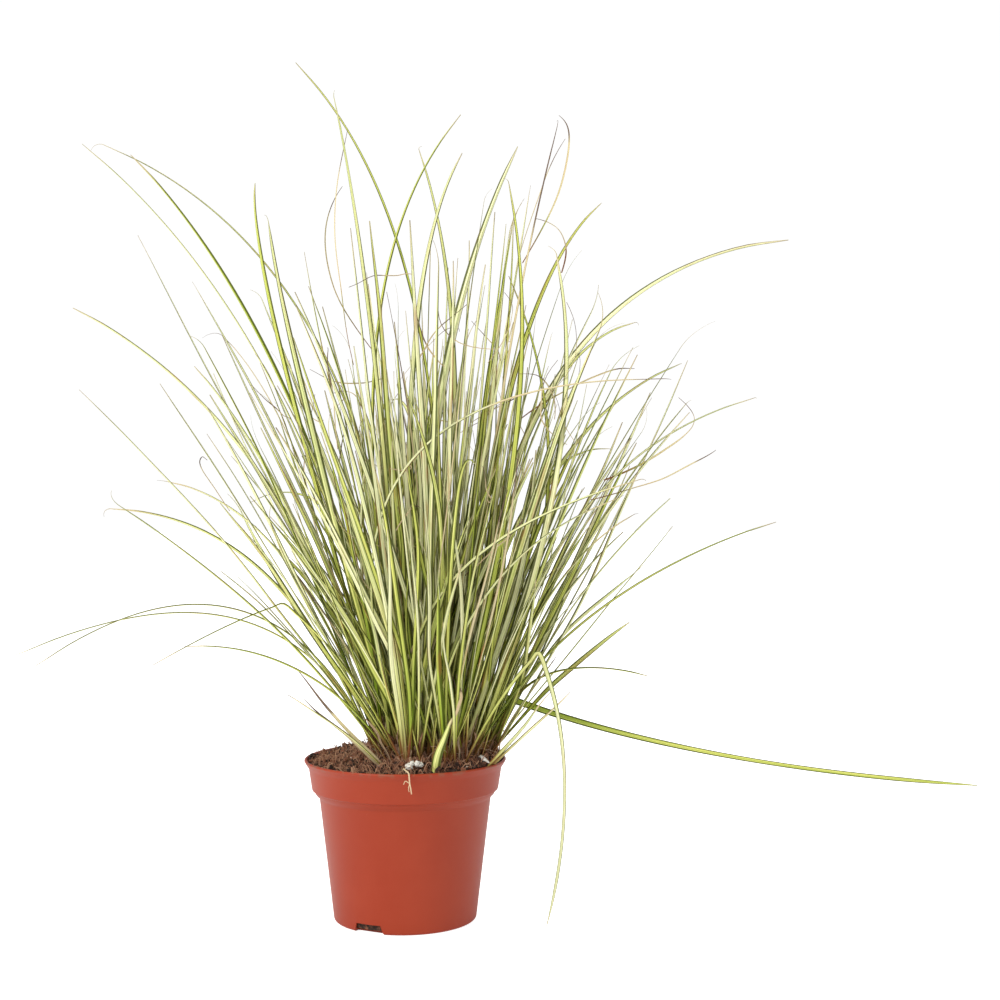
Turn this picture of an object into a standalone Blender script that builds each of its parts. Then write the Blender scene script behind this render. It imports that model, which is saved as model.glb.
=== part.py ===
"""A variegated grass clump growing in a round nursery pot.

Metres, +Z up, the front faces -Y. The origin is the centre of the pot's underside, which stands on
z = 0. Rows that place single leaves are in millimetres, because that is how they are read and moved.
"""

import math
from collections import namedtuple

import bmesh
import bpy
from mathutils import Vector, noise
from mathutils.bvhtree import BVHTree

MM = 0.001
GAP = 0.0003

# Pot: a 12 cm round nursery pot with a deep collar under its lip.
POT_HEIGHT = 0.0957
LIP_RADIUS = 0.0603
LIP_DEPTH = 0.0055
COLLAR_TOP_RADIUS = 0.0576
COLLAR_FOOT_RADIUS = 0.0558
COLLAR_DEPTH = 0.0185
STEP_DEPTH = 0.0045
BODY_TOP_RADIUS = 0.0512
BODY_FOOT_RADIUS = 0.0427
BASE_ROUND = 0.0018
WALL = 0.0013
FLOOR = 0.0016
POT_SIDES = 48

NOTCH_WIDTH = 0.019
NOTCH_HEIGHT = 0.0055
NOTCH_DEPTH = 0.0055
NOTCH_ANGLES = (-117, 63)
DRAIN_RADIUS = 0.0035
DRAIN_RING = 0.026
DRAIN_ANGLES = (-30, 60, 150, 240)

# Potting mix: it fills the pot to just under the lip and is heaped under the crown.
SOIL_EDGE = 0.0930
HEAP_RISE = 0.0070
HEAP_RADIUS = 0.055
CRUMB = 0.0011
CRUMB_SPACING = 0.011
SOIL_RINGS = 8
SOIL_SIDES = 40

# Crown: the disc of soil that the leaves rise from, off the pot's axis towards +X.
CROWN_X = 0.018

# Leaves: a folded section one unit wide: edge, groove, edge, keel.
SECTION = ((-0.5, 0.13), (0.0, 0.07), (0.5, 0.13), (0.0, -0.11))
LEAF_STEPS = 13
CREASED_STEPS = 10
BASE_WIDTH = 0.6
WIDEST_AT = 0.35
TIP_WIDTH = 0.16
LEAN_ROOM = 0.0004

# Tufts: each spindle stands for a bundle of fine leaves that share a root.
TUFT_STEPS = 10
TUFT_WAIST = 0.0022
TUFT_BELLY = 0.0060
TUFT_TIP = 0.0010
Ring = namedtuple("Ring", "count first_angle root_radius tip_radius tip_height bow")
TUFT_RINGS = (
    Ring(3, 30, 0.011, 0.036, 0.405, 0.006),
    Ring(8, 22.5, 0.027, 0.092, 0.335, 0.014),
)

# Each leaf, in mm: root (x, y), a point half way along, tip, width, and the turn of its face in degrees.
Leaf = namedtuple("Leaf", "root middle tip width turn")
LEAVES = (
    # left fan, from the lowest up
    Leaf((-14, -18), (-94, -36, 186), (-207, -50, 156), 3.5, 10),
    Leaf((-19, 0), (-96, -14, 178), (-225, -20, 160), 3.5, 0),
    Leaf((-6, -28), (-56, -46, 151), (-122, -54, 167), 3.0, 20),
    Leaf((-10, -24), (-76, -42, 179), (-158, -60, 247), 3.0, 30),
    Leaf((-17, -12), (-80, -30, 206), (-167, -40, 245), 4.0, 30),
    Leaf((-15, -6), (-70, -16, 213), (-138, -25, 261), 4.0, 20),
    Leaf((-17, 6), (-70, 4, 240), (-126, -2, 330), 4.5, 35),
    Leaf((-12, 14), (-92, 22, 266), (-208, 30, 369), 5.0, 25),
    Leaf((-12, 20), (-65, 40, 265), (-120, 56, 354), 2.5, 20),
    Leaf((-4, 18), (-87, 40, 325), (-210, 60, 477), 3.5, 20),
    Leaf((-3, 3), (-75, 6, 319), (-169, 18, 461), 5.5, 35),
    Leaf((3, 18), (-57, 46, 346), (-200, 75, 480), 3.0, 20),
    Leaf((-9, 0), (-71, -14, 329), (-87, -20, 436), 4.5, 50),
    Leaf((-2, -18), (-49, -44, 281), (-73, -60, 406), 6.5, 60),
    # top of the clump
    Leaf((1, -23), (-17, -30, 333), (-39, -36, 482), 4.5, 50),
    Leaf((17, 4), (9, 4, 356), (-67, 10, 515), 5.5, 30),
    Leaf((1, -5), (-19, -1, 335), (33, -2, 481), 5.0, 50),
    Leaf((7, -8), (5, -14, 329), (34, -18, 454), 5.5, 50),
    Leaf((14, -20), (21, -30, 299), (67, -40, 453), 8.0, 65),
    Leaf((20, 22), (29, 34, 322), (6, 44, 470), 4.0, 50),
    Leaf((34, -15), (58, -18, 304), (90, -20, 468), 3.5, 40),
    Leaf((28, -34), (67, -40, 288), (62, -48, 431), 5.0, 60),
    Leaf((33, 8), (64, 20, 319), (119, 30, 433), 4.5, 40),
    # right fan, from the highest down
    Leaf((40, 2), (86, 12, 250), (62, 10, 386), 4.0, 40),
    Leaf((42, -18), (90, -44, 262), (89, -52, 389), 7.5, 65),
    Leaf((36, 15), (93, 24, 323), (236, 34, 411), 5.5, 25),
    Leaf((34, 27), (73, 44, 286), (143, 62, 363), 4.5, 30),
    Leaf((45, 18), (85, 28, 254), (169, 40, 335), 4.5, 30),
    Leaf((48, -1), (105, -4, 240), (208, -8, 311), 4.0, 20),
    Leaf((52, -6), (101, -16, 211), (165, -25, 306), 4.0, 20),
    Leaf((46, -23), (83, -37, 189), (133, -46, 242), 4.5, 30),
    Leaf((41, -27), (109, -44, 183), (212, -60, 237), 5.5, 20),
    Leaf((51, -18), (70, -26, 130), (89, -34, 159), 3.0, 40),
    Leaf((53, -11), (81, -21, 145), (143, -32, 148), 3.5, 10),
    # arching across the front
    Leaf((5, -34), (0, -78, 261), (142, -112, 314), 2.5, 20),
    Leaf((11, -36), (24, -62, 198), (132, -92, 261), 3.0, 20),
    Leaf((18, -37), (46, -58, 192), (120, -74, 250), 3.0, 20),
    # towards the front and the back
    Leaf((25, -36), (32, -96, 236), (44, -166, 268), 3.5, 0),
    Leaf((18, 36), (4, 112, 270), (-22, 190, 322), 5.0, 0),
    Leaf((30, 34), (72, 104, 240), (134, 168, 286), 5.0, 0),
    Leaf((2, 33), (-48, 100, 230), (-118, 158, 248), 4.5, 0),
)

# Leaves that are folded over: root, half way, crease, half way, tip.
Creased = namedtuple("Creased", "root first crease second tip width turn")
CREASED_LEAVES = (
    Creased((-1, -31), (-33, -38, 153), (-67, -45, 190), (-98, -58, 178), (-137, -70, 158), 4.0, 20),
    Creased((53, 9), (57, 10, 114), (61, 12, 129), (190, 11, 95), (346, 10, 77), 6.5, 20),
    Creased((37, -31), (57, -41, 134), (79, -49, 162), (93, -53, 92), (83, -45, 6), 3.5, 60),
)

# Perlite on the mix: x, y and radius in mm.
PERLITE = ((8, -47, 2.8), (47.5, -28, 2.2))

# A dry root that lies over the lip: x, y, z in mm.
RIM_ROOT = ((3, -52, 97.2), (5, -57, 97.6), (6, -61.4, 97.0), (6.4, -62.2, 93), (6.8, -60.6, 89), (7, -60.4, 85))
RIM_ROOT_RADIUS = 0.0006

COLOURS = {
    "terracotta plastic": ((0.46, 0.065, 0.028), 0.42),
    "potting mix": ((0.075, 0.042, 0.026), 0.95),
    "perlite": ((0.80, 0.78, 0.72), 0.90),
    "dry root": ((0.36, 0.21, 0.11), 0.85),
    "leaf": ((0.46, 0.50, 0.14), 0.50),
    "tuft": ((0.24, 0.34, 0.07), 0.55),
}


def clear_scene():
    for obj in list(bpy.data.objects):
        bpy.data.objects.remove(obj, do_unlink=True)


def new_collection(name):
    collection = bpy.data.collections.new(name)
    bpy.context.scene.collection.children.link(collection)
    return collection


def new_material(name):
    colour, roughness = COLOURS[name]
    material = bpy.data.materials.new(name)
    material.use_nodes = True
    shader = material.node_tree.nodes["Principled BSDF"]
    shader.inputs["Base Color"].default_value = (*colour, 1.0)
    shader.inputs["Roughness"].default_value = roughness
    material.diffuse_color = (*colour, 1.0)
    return material


def add_object(name, data, collection, material=None):
    obj = bpy.data.objects.new(name, data)
    collection.objects.link(obj)
    if material:
        data.materials.append(material)
    return obj


def make_helper(obj):
    """Keeps a cutter or a section out of the finished model."""
    obj.hide_render = True
    obj.display_type = "WIRE"
    return obj


def turned(name, profile, sides, collection, material):
    """A closed body turned about Z from (radius, height) points that start and end on the axis."""
    mesh = bpy.data.meshes.new(name)
    points = [(radius, 0.0, height) for radius, height in profile]
    mesh.from_pydata(points, [(i, i + 1) for i in range(len(points) - 1)], [])
    obj = add_object(name, mesh, collection, material)
    screw = obj.modifiers.new("turn", "SCREW")
    screw.axis = "Z"
    screw.steps = sides
    screw.render_steps = sides
    screw.use_merge_vertices = True
    screw.merge_threshold = 0.00001
    return obj


def solid_mesh(obj, collection):
    """Replaces an object by a plain mesh of what its modifiers or its curve make, with the same name."""
    name = obj.name
    bpy.context.view_layer.update()
    evaluated = obj.evaluated_get(bpy.context.evaluated_depsgraph_get())
    mesh = bpy.data.meshes.new_from_object(evaluated)
    place = obj.matrix_world.copy()
    bpy.data.objects.remove(obj, do_unlink=True)
    shape = bmesh.new()
    shape.from_mesh(mesh)
    bmesh.ops.remove_doubles(shape, verts=shape.verts, dist=0.000001)
    shape.to_mesh(mesh)
    shape.free()
    solid = bpy.data.objects.new(name, mesh)
    collection.objects.link(solid)
    solid.matrix_world = place
    return solid


def smooth(obj):
    obj.data.shade_smooth()
    obj.data.set_sharp_from_angle(angle=math.radians(35))


# The pot

COLLAR_FOOT = POT_HEIGHT - COLLAR_DEPTH
BODY_TOP = COLLAR_FOOT - STEP_DEPTH


def pot_outside():
    """The outer side, from the lip down to where it stands."""
    return [
        (LIP_RADIUS - 0.0004, POT_HEIGHT),
        (LIP_RADIUS, POT_HEIGHT - 0.0006),
        (LIP_RADIUS - 0.0004, POT_HEIGHT - 0.0016),
        (COLLAR_TOP_RADIUS, POT_HEIGHT - LIP_DEPTH),
        (COLLAR_FOOT_RADIUS, COLLAR_FOOT),
        (COLLAR_FOOT_RADIUS - 0.0008, COLLAR_FOOT - 0.0014),
        (BODY_TOP_RADIUS, BODY_TOP),
        (BODY_FOOT_RADIUS, BASE_ROUND * 2),
        (BODY_FOOT_RADIUS - 0.4 * BASE_ROUND, BASE_ROUND * 0.6),
        (BODY_FOOT_RADIUS - BASE_ROUND, 0.0),
    ]


def pot_inside(clearance=0.0):
    """The inner side, from the lip down to the floor, drawn in by a clearance for what fills the pot."""
    inset = WALL + clearance
    return [
        (LIP_RADIUS - 0.0002 - inset, POT_HEIGHT),
        (COLLAR_TOP_RADIUS - inset, POT_HEIGHT - LIP_DEPTH),
        (COLLAR_FOOT_RADIUS - inset, COLLAR_FOOT + 0.0006),
        (BODY_TOP_RADIUS - inset, BODY_TOP + 0.0006),
        (BODY_FOOT_RADIUS - inset, FLOOR + clearance),
    ]


def cut(obj, cutter, name):
    modifier = obj.modifiers.new(name, "BOOLEAN")
    modifier.operation = "DIFFERENCE"
    modifier.solver = "EXACT"
    modifier.object = cutter


def notch_cutter(angle, cutters):
    """A box across the bottom edge of the wall, facing out at an angle in degrees."""
    inner = BODY_FOOT_RADIUS - NOTCH_DEPTH
    outer = BODY_FOOT_RADIUS + 0.005
    below = 0.002
    shape = bmesh.new()
    bmesh.ops.create_cube(shape, size=1.0)
    size = Vector((outer - inner, NOTCH_WIDTH, NOTCH_HEIGHT + below))
    bmesh.ops.scale(shape, vec=size, verts=shape.verts)
    centre = Vector(((inner + outer) / 2, 0.0, (NOTCH_HEIGHT - below) / 2))
    bmesh.ops.translate(shape, vec=centre, verts=shape.verts)
    mesh = bpy.data.meshes.new("notch")
    shape.to_mesh(mesh)
    shape.free()
    cutter = make_helper(add_object(f"notch_cutter_{angle}", mesh, cutters))
    cutter.rotation_euler.z = math.radians(angle)
    return cutter


def drain_cutter(angle, cutters):
    shape = bmesh.new()
    bmesh.ops.create_cone(
        shape, cap_ends=True, segments=16, radius1=DRAIN_RADIUS, radius2=DRAIN_RADIUS, depth=FLOOR * 3
    )
    mesh = bpy.data.meshes.new("drain")
    shape.to_mesh(mesh)
    shape.free()
    cutter = make_helper(add_object(f"drain_cutter_{angle}", mesh, cutters))
    turn = math.radians(angle)
    cutter.location = (DRAIN_RING * math.cos(turn), DRAIN_RING * math.sin(turn), FLOOR / 2)
    return cutter


def build_pot(parts, cutters):
    inside = pot_inside()
    profile = [(0.0, FLOOR), *reversed(inside), *pot_outside(), (0.0, 0.0)]
    pot = turned("pot", profile, POT_SIDES, parts, new_material("terracotta plastic"))
    for angle in NOTCH_ANGLES:
        cut(pot, notch_cutter(angle, cutters), "corner notch")
    for angle in DRAIN_ANGLES:
        cut(pot, drain_cutter(angle, cutters), "drain hole")
    smooth(pot)
    return pot


# The potting mix and what lies on it


def soil_height(x, y):
    """The surface of the mix: heaped under the crown and crumbly all over."""
    reach = math.hypot(x - CROWN_X, y) / HEAP_RADIUS
    heap = HEAP_RISE * max(0.0, 1.0 - reach * reach)
    crumbs = CRUMB * noise.noise(Vector((x, y, 0.0)) / CRUMB_SPACING)
    return SOIL_EDGE + heap + crumbs


def build_soil(parts):
    side = pot_inside(GAP)[1:]
    rim = side[0][0]
    top = [(rim * ring / SOIL_RINGS, SOIL_EDGE) for ring in range(SOIL_RINGS + 1)]
    profile = [*top, *side, (0.0, side[-1][1])]
    material = new_material("potting mix")
    soil = solid_mesh(turned("potting_mix", profile, SOIL_SIDES, parts, material), parts)
    for vertex in soil.data.vertices:
        if vertex.co.z > SOIL_EDGE - 0.0001:
            vertex.co.z = soil_height(vertex.co.x, vertex.co.y)
    return soil


def surface_of(obj):
    bpy.context.view_layer.update()
    return BVHTree.FromObject(obj, bpy.context.evaluated_depsgraph_get())


def rest_height(surface, x, y, radius):
    """The height that clears the mix under a foot of this radius."""
    highest = 0.0
    for dx, dy in ((0, 0), (radius, 0), (-radius, 0), (0, radius), (0, -radius)):
        hit = surface.ray_cast(Vector((x + dx, y + dy, 1.0)), Vector((0.0, 0.0, -1.0)))[0]
        if hit:
            highest = max(highest, hit.z)
    return highest + GAP


def build_perlite(surface, parts):
    material = new_material("perlite")
    for number, (x, y, radius) in enumerate(PERLITE, start=1):
        size = radius * MM
        shape = bmesh.new()
        bmesh.ops.create_icosphere(shape, subdivisions=2, radius=size)
        for vertex in shape.verts:
            vertex.co *= 0.88 + 0.35 * noise.noise(vertex.co / size + Vector((number, 0.0, 0.0)))
        mesh = bpy.data.meshes.new(f"perlite_{number}")
        shape.to_mesh(mesh)
        shape.free()
        grain = add_object(f"perlite_{number}", mesh, parts, material)
        lift = size * 1.1
        grain.location = (x * MM, y * MM, rest_height(surface, x * MM, y * MM, size * 0.5) + lift)


def build_rim_root(parts):
    curve = bpy.data.curves.new("rim_root", "CURVE")
    curve.dimensions = "3D"
    curve.bevel_depth = RIM_ROOT_RADIUS
    curve.bevel_resolution = 1
    curve.use_fill_caps = True
    spline = curve.splines.new("POLY")
    spline.points.add(len(RIM_ROOT) - 1)
    for point, place in zip(spline.points, RIM_ROOT):
        point.co = (*(Vector(place) * MM), 1.0)
    add_object("rim_root", curve, parts, new_material("dry root"))


# Leaves and tufts


def arc(start, middle, end, steps):
    """Points of the quadratic curve that passes through middle half way from start to end."""
    pull = middle * 2 - (start + end) / 2
    points = []
    for step in range(steps + 1):
        t = step / steps
        points.append(start * (1 - t) ** 2 + pull * 2 * t * (1 - t) + end * t ** 2)
    return points


def leaf_width(t):
    """Share of the full width at t along the leaf: a narrow sheath, a long blade, a fine tip."""
    if t < WIDEST_AT:
        return BASE_WIDTH + (1 - BASE_WIDTH) * math.sin(math.pi / 2 * t / WIDEST_AT)
    fall = (t - WIDEST_AT) / (1 - WIDEST_AT)
    return 1 - (1 - TIP_WIDTH) * fall ** 1.8


def spline_along(curve, points, radii, tilt=0.0):
    spline = curve.splines.new("POLY")
    spline.points.add(len(points) - 1)
    for point, place, radius in zip(spline.points, points, radii):
        point.co = (*place, 1.0)
        point.radius = radius
        point.tilt = tilt


def leaf_section(cutters):
    """The folded section that every leaf is swept from."""
    curve = bpy.data.curves.new("leaf_section", "CURVE")
    curve.dimensions = "2D"
    spline = curve.splines.new("POLY")
    spline.points.add(len(SECTION) - 1)
    for point, (across, depth) in zip(spline.points, SECTION):
        point.co = (across, depth, 0.0, 1.0)
    spline.use_cyclic_u = True
    return make_helper(add_object("leaf_section", curve, cutters))


def add_leaf(name, points, width, turn, section, parts, material):
    """A folded blade swept along points in metres, with its face turned by some degrees."""
    curve = bpy.data.curves.new(name, "CURVE")
    curve.dimensions = "3D"
    curve.twist_mode = "MINIMUM"
    curve.bevel_mode = "OBJECT"
    curve.bevel_object = section
    curve.use_fill_caps = True
    last = len(points) - 1
    radii = [width * MM * leaf_width(i / last) for i in range(len(points))]
    spline_along(curve, points, radii, math.radians(turn))
    add_object(name, curve, parts, material)


def root_point(root, width, surface):
    x, y = root[0] * MM, root[1] * MM
    return Vector((x, y, rest_height(surface, x, y, width * MM * 0.5) + LEAN_ROOM))


def build_leaves(surface, section, parts):
    material = new_material("leaf")
    for number, leaf in enumerate(LEAVES, start=1):
        root = root_point(leaf.root, leaf.width, surface)
        points = arc(root, Vector(leaf.middle) * MM, Vector(leaf.tip) * MM, LEAF_STEPS)
        add_leaf(f"leaf_{number:02d}", points, leaf.width, leaf.turn, section, parts, material)
    for number, leaf in enumerate(CREASED_LEAVES, start=1):
        root = root_point(leaf.root, leaf.width, surface)
        crease = Vector(leaf.crease) * MM
        points = arc(root, Vector(leaf.first) * MM, crease, CREASED_STEPS)
        points += arc(crease, Vector(leaf.second) * MM, Vector(leaf.tip) * MM, CREASED_STEPS)[1:]
        add_leaf(f"creased_leaf_{number}", points, leaf.width, leaf.turn, section, parts, material)


def tuft_radius(t):
    """Thin where it leaves the mix, fullest below half height, a point at the top."""
    if t < 0.4:
        return TUFT_WAIST + (TUFT_BELLY - TUFT_WAIST) * math.sin(math.pi / 2 * t / 0.4)
    return TUFT_TIP + (TUFT_BELLY - TUFT_TIP) * math.cos(math.pi / 2 * (t - 0.4) / 0.6)


def build_tufts(surface, parts):
    material = new_material("tuft")
    number = 0
    for ring in TUFT_RINGS:
        for place in range(ring.count):
            number += 1
            angle = math.radians(ring.first_angle + 360 * place / ring.count)
            out = Vector((math.cos(angle), math.sin(angle), 0.0))
            centre = Vector((CROWN_X, 0.0, 0.0))
            root = centre + out * ring.root_radius
            root.z = rest_height(surface, root.x, root.y, TUFT_WAIST)
            tip = centre + out * ring.tip_radius
            tip.z = ring.tip_height
            middle = (root + tip) / 2 - out * ring.bow
            points = arc(root, middle, tip, TUFT_STEPS)
            curve = bpy.data.curves.new(f"tuft_{number:02d}", "CURVE")
            curve.dimensions = "3D"
            curve.bevel_depth = 1.0
            curve.bevel_resolution = 1
            curve.use_fill_caps = True
            radii = [tuft_radius(i / TUFT_STEPS) for i in range(TUFT_STEPS + 1)]
            spline_along(curve, points, radii)
            add_object(f"tuft_{number:02d}", curve, parts, material)


def main():
    clear_scene()
    parts = new_collection("potted ornamental grass clump")
    cutters = new_collection("cutters and sections")
    build_pot(parts, cutters)
    surface = surface_of(build_soil(parts))
    build_perlite(surface, parts)
    build_rim_root(parts)
    build_leaves(surface, leaf_section(cutters), parts)
    build_tufts(surface, parts)


main()
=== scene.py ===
"""The looks of a potted ornamental grass clump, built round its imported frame.

Metres, +Z up, the front faces -Y. Every leaf of the frame gets a fine folded blade along its own line,
and every tuft of the frame becomes a bundle of leaves that spread from the tuft's root to its tip.
"""

import math
import random
from collections import defaultdict, namedtuple
from itertools import combinations

import bmesh
import bpy
from bpy.props import FloatProperty, FloatVectorProperty, IntProperty, PointerProperty
from bpy.types import Operator, Panel, PropertyGroup
from mathutils import Matrix, Vector, noise


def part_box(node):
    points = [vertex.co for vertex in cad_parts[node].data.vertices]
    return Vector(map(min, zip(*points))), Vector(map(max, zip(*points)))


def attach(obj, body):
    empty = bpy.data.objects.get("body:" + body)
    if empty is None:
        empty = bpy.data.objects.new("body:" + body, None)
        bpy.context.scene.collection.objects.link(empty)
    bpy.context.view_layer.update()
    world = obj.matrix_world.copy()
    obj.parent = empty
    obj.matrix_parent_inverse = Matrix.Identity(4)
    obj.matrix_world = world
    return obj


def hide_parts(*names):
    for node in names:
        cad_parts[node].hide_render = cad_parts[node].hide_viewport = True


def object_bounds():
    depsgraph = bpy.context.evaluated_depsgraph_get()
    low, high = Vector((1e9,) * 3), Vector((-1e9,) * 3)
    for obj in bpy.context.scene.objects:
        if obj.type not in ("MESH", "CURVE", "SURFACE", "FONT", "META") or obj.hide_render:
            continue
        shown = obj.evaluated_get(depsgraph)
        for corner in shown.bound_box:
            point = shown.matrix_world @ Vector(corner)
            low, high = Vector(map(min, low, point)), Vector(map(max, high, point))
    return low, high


bl_info = {
    "name": "Potted Grass Clump",
    "version": (1, 0, 0),
    "blender": (4, 5, 0),
    "location": "3D View > Sidebar > Grass Clump",
    "description": "Builds a variegated grass clump in a round nursery pot",
    "category": "Add Mesh",
}

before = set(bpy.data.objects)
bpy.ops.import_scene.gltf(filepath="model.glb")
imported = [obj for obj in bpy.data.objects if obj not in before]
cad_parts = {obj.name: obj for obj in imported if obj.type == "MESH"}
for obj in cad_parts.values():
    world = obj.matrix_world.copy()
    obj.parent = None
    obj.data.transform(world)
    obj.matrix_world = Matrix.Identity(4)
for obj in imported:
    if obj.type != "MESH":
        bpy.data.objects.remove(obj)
CAD_LOW, CAD_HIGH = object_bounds()
POT_LOW, POT_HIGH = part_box("pot")
MIX_LOW, MIX_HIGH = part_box("potting_mix")

MM = 0.001
LEAF_NODES = sorted(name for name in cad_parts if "leaf_" in name)
TUFT_NODES = sorted(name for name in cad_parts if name.startswith("tuft_"))
TUFT_SIDES = 6

# Every random draw starts from one of these seeds.
NOISE_SEED = 1
PERLITE_SEED = 5
CRUMB_SEED = 11
LITTER_SEED = 77
LEAF_SEED = 100
TUFT_SEED = 400

# Until it is seeded, noise_vector reads offsets that follow the clock.
noise.seed_set(NOISE_SEED)

# A blade's section, as shares of its half width: the upper side from edge to edge, then the under side.
UPPER_SIDE = (-1.0, -0.5, 0.0, 0.5, 1.0)
UNDER_SIDE = (0.6, 0.0, -0.6)
SECTION = UPPER_SIDE + UNDER_SIDE
BAKE_MAP = "OFBake"

# How a swept piece's faces share its map: a margin beside each column, and a band for each of the two ends.
COLUMN_MARGIN = 0.04
CAP_BAND = 0.01

# How each leaf of the frame looks: greenness, dry share of its length, rusty blotches, a wisp past its tip
# in mm, its width as a share of the other leaves' share, the share of its full width that it keeps up to
# its tip, and how far its upper side is turned about its line, in degrees.
Look = namedtuple("Look", "green dry rust wisp slim blunt turn", defaults=(1.0, 0.42, 0))
LOOKS = {
    "leaf_01": Look(0.35, 0.08, 0.1, 6, 1.0, 0.5),
    "leaf_02": Look(0.45, 0.10, 0.1, 12, 1.0, 0.5),
    "leaf_03": Look(0.75, 0.10, 0.1, 0),
    "leaf_04": Look(0.40, 0.06, 0.1, 14),
    "leaf_05": Look(0.40, 0.12, 0.2, 8),
    "leaf_06": Look(0.35, 0.12, 0.3, 6),
    "leaf_08": Look(0.25, 0.05, 0.4, 0, 1.4, 0.5),
    "leaf_09": Look(0.30, 0.35, 0.6, 14),
    "leaf_10": Look(0.35, 0.04, 0.1, 0, 1.2),
    "leaf_11": Look(0.80, 0.06, 0.0, 0),
    "leaf_12": Look(0.45, 0.06, 0.2, 10),
    "leaf_14": Look(0.30, 0.04, 0.1, 8, 0.85),
    "leaf_15": Look(0.35, 0.03, 0.1, 6, 0.8),
    "leaf_16": Look(0.60, 0.03, 0.1, 0, 0.95),
    "leaf_17": Look(0.70, 0.04, 0.1, 0, 0.8),
    "leaf_18": Look(0.25, 0.04, 0.1, 0, 0.8),
    "leaf_19": Look(0.10, 0.03, 0.1, 0, 0.95),
    "leaf_21": Look(0.10, 0.80, 0.5, 12),
    "leaf_24": Look(0.80, 0.08, 0.1, 0),
    "leaf_25": Look(0.08, 0.07, 0.3, 8),
    "leaf_26": Look(0.18, 0.05, 0.2, 0, 1.25, 0.5),
    "leaf_31": Look(0.30, 0.20, 0.3, 4),
    "leaf_32": Look(0.65, 0.06, 0.0, 0),
    "leaf_33": Look(0.10, 0.35, 0.9, 0),
    "leaf_34": Look(0.55, 0.04, 0.2, 0, 1.2, 0.6),
    "leaf_35": Look(0.12, 0.30, 0.4, 8, 0.9),
    "leaf_36": Look(0.25, 0.12, 0.1, 6),
    "leaf_37": Look(0.20, 0.12, 0.2, 6),
    "creased_leaf_1": Look(0.55, 0.10, 0.1, 0),
    "creased_leaf_2": Look(0.62, 0.02, 0.0, 0, 0.95, 0.60, 38),
    "creased_leaf_3": Look(0.12, 0.03, 0.1, 0, 1.15, 0.65),
}

# Short and dried leaves of their own, in mm: start, half way, end and width, then greenness, dry share and
# rust. A dry share over 1 is dry from its foot and has a long dark tip.
Wisp = namedtuple("Wisp", "start middle end width green dry rust", defaults=(0.4, 0.7, 0.6))
WISPS = (
    Wisp((-30, -12, 330), (-40, -14, 400), (-33, -16, 468), 1.3),
    Wisp((-20, 6, 340), (-48, 8, 395), (-38, 10, 440), 1.2),
    Wisp((70, -14, 390), (96, -18, 445), (91, -20, 476), 1.3),
    Wisp((60, 4, 350), (76, 2, 420), (96, 0, 466), 1.4),
    Wisp((92, -44, 380), (92, -46, 402), (76, -40, 412), 1.5),
    Wisp((120, 14, 262), (168, 10, 288), (165, 8, 312), 1.6),
    Wisp((110, -20, 250), (150, -24, 262), (182, -26, 280), 1.5),
    Wisp((70, 20, 300), (105, 24, 322), (140, 26, 330), 1.5),
    Wisp((-2, -28, 86), (-30, -36, 116), (-60, -40, 152), 2.6, 0.3, 1.5, 0.2),
    Wisp((-4, -26, 86), (-29, -35, 112), (-56, -42, 137), 2.4, 0.3, 1.5, 0.2),
    Wisp((0, -31, 82), (-31, -40, 115), (-66, -46, 139), 2.2, 0.30, 0.2, 0.2),
    Wisp((17, -39, 74), (20, -52, 102), (30, -57, 127), 5.4, 0.40, 0.10, 0.4),
    Wisp((30, -57, 126), (34.0, -57, 139), (31, -54, 152), 1.8, 0.4, 1.6, 0.9),
    Wisp((27, -30, 98), (33, -38, 125), (29, -40, 150), 1.6, 0.2, 1.5, 0.9),
    Wisp((44, -20, 86), (70, -34, 113), (98, -40, 141), 2.6, 0.15, 0.15, 0.3),
    Wisp((42, -24, 86), (67, -38, 116), (92, -46, 146), 2.4, 0.15, 0.30, 0.6),
)


def length(name, text, default):
    return FloatProperty(name=name, description=text, default=default, min=0.0, unit="LENGTH", precision=5)


def quantity(name, text, default, unit):
    return FloatProperty(name=name, description=text, default=default, min=0.0, unit=unit)


def share(name, text, default):
    return FloatProperty(name=name, description=text, default=default, min=0.0, max=1.0, subtype="FACTOR")


def colour(name, text, default):
    return FloatVectorProperty(
        name=name, description=text, default=default, min=0.0, max=1.0, size=3, subtype="COLOR"
    )


def count(name, text, default):
    return IntProperty(name=name, description=text, default=default, min=1)


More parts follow.
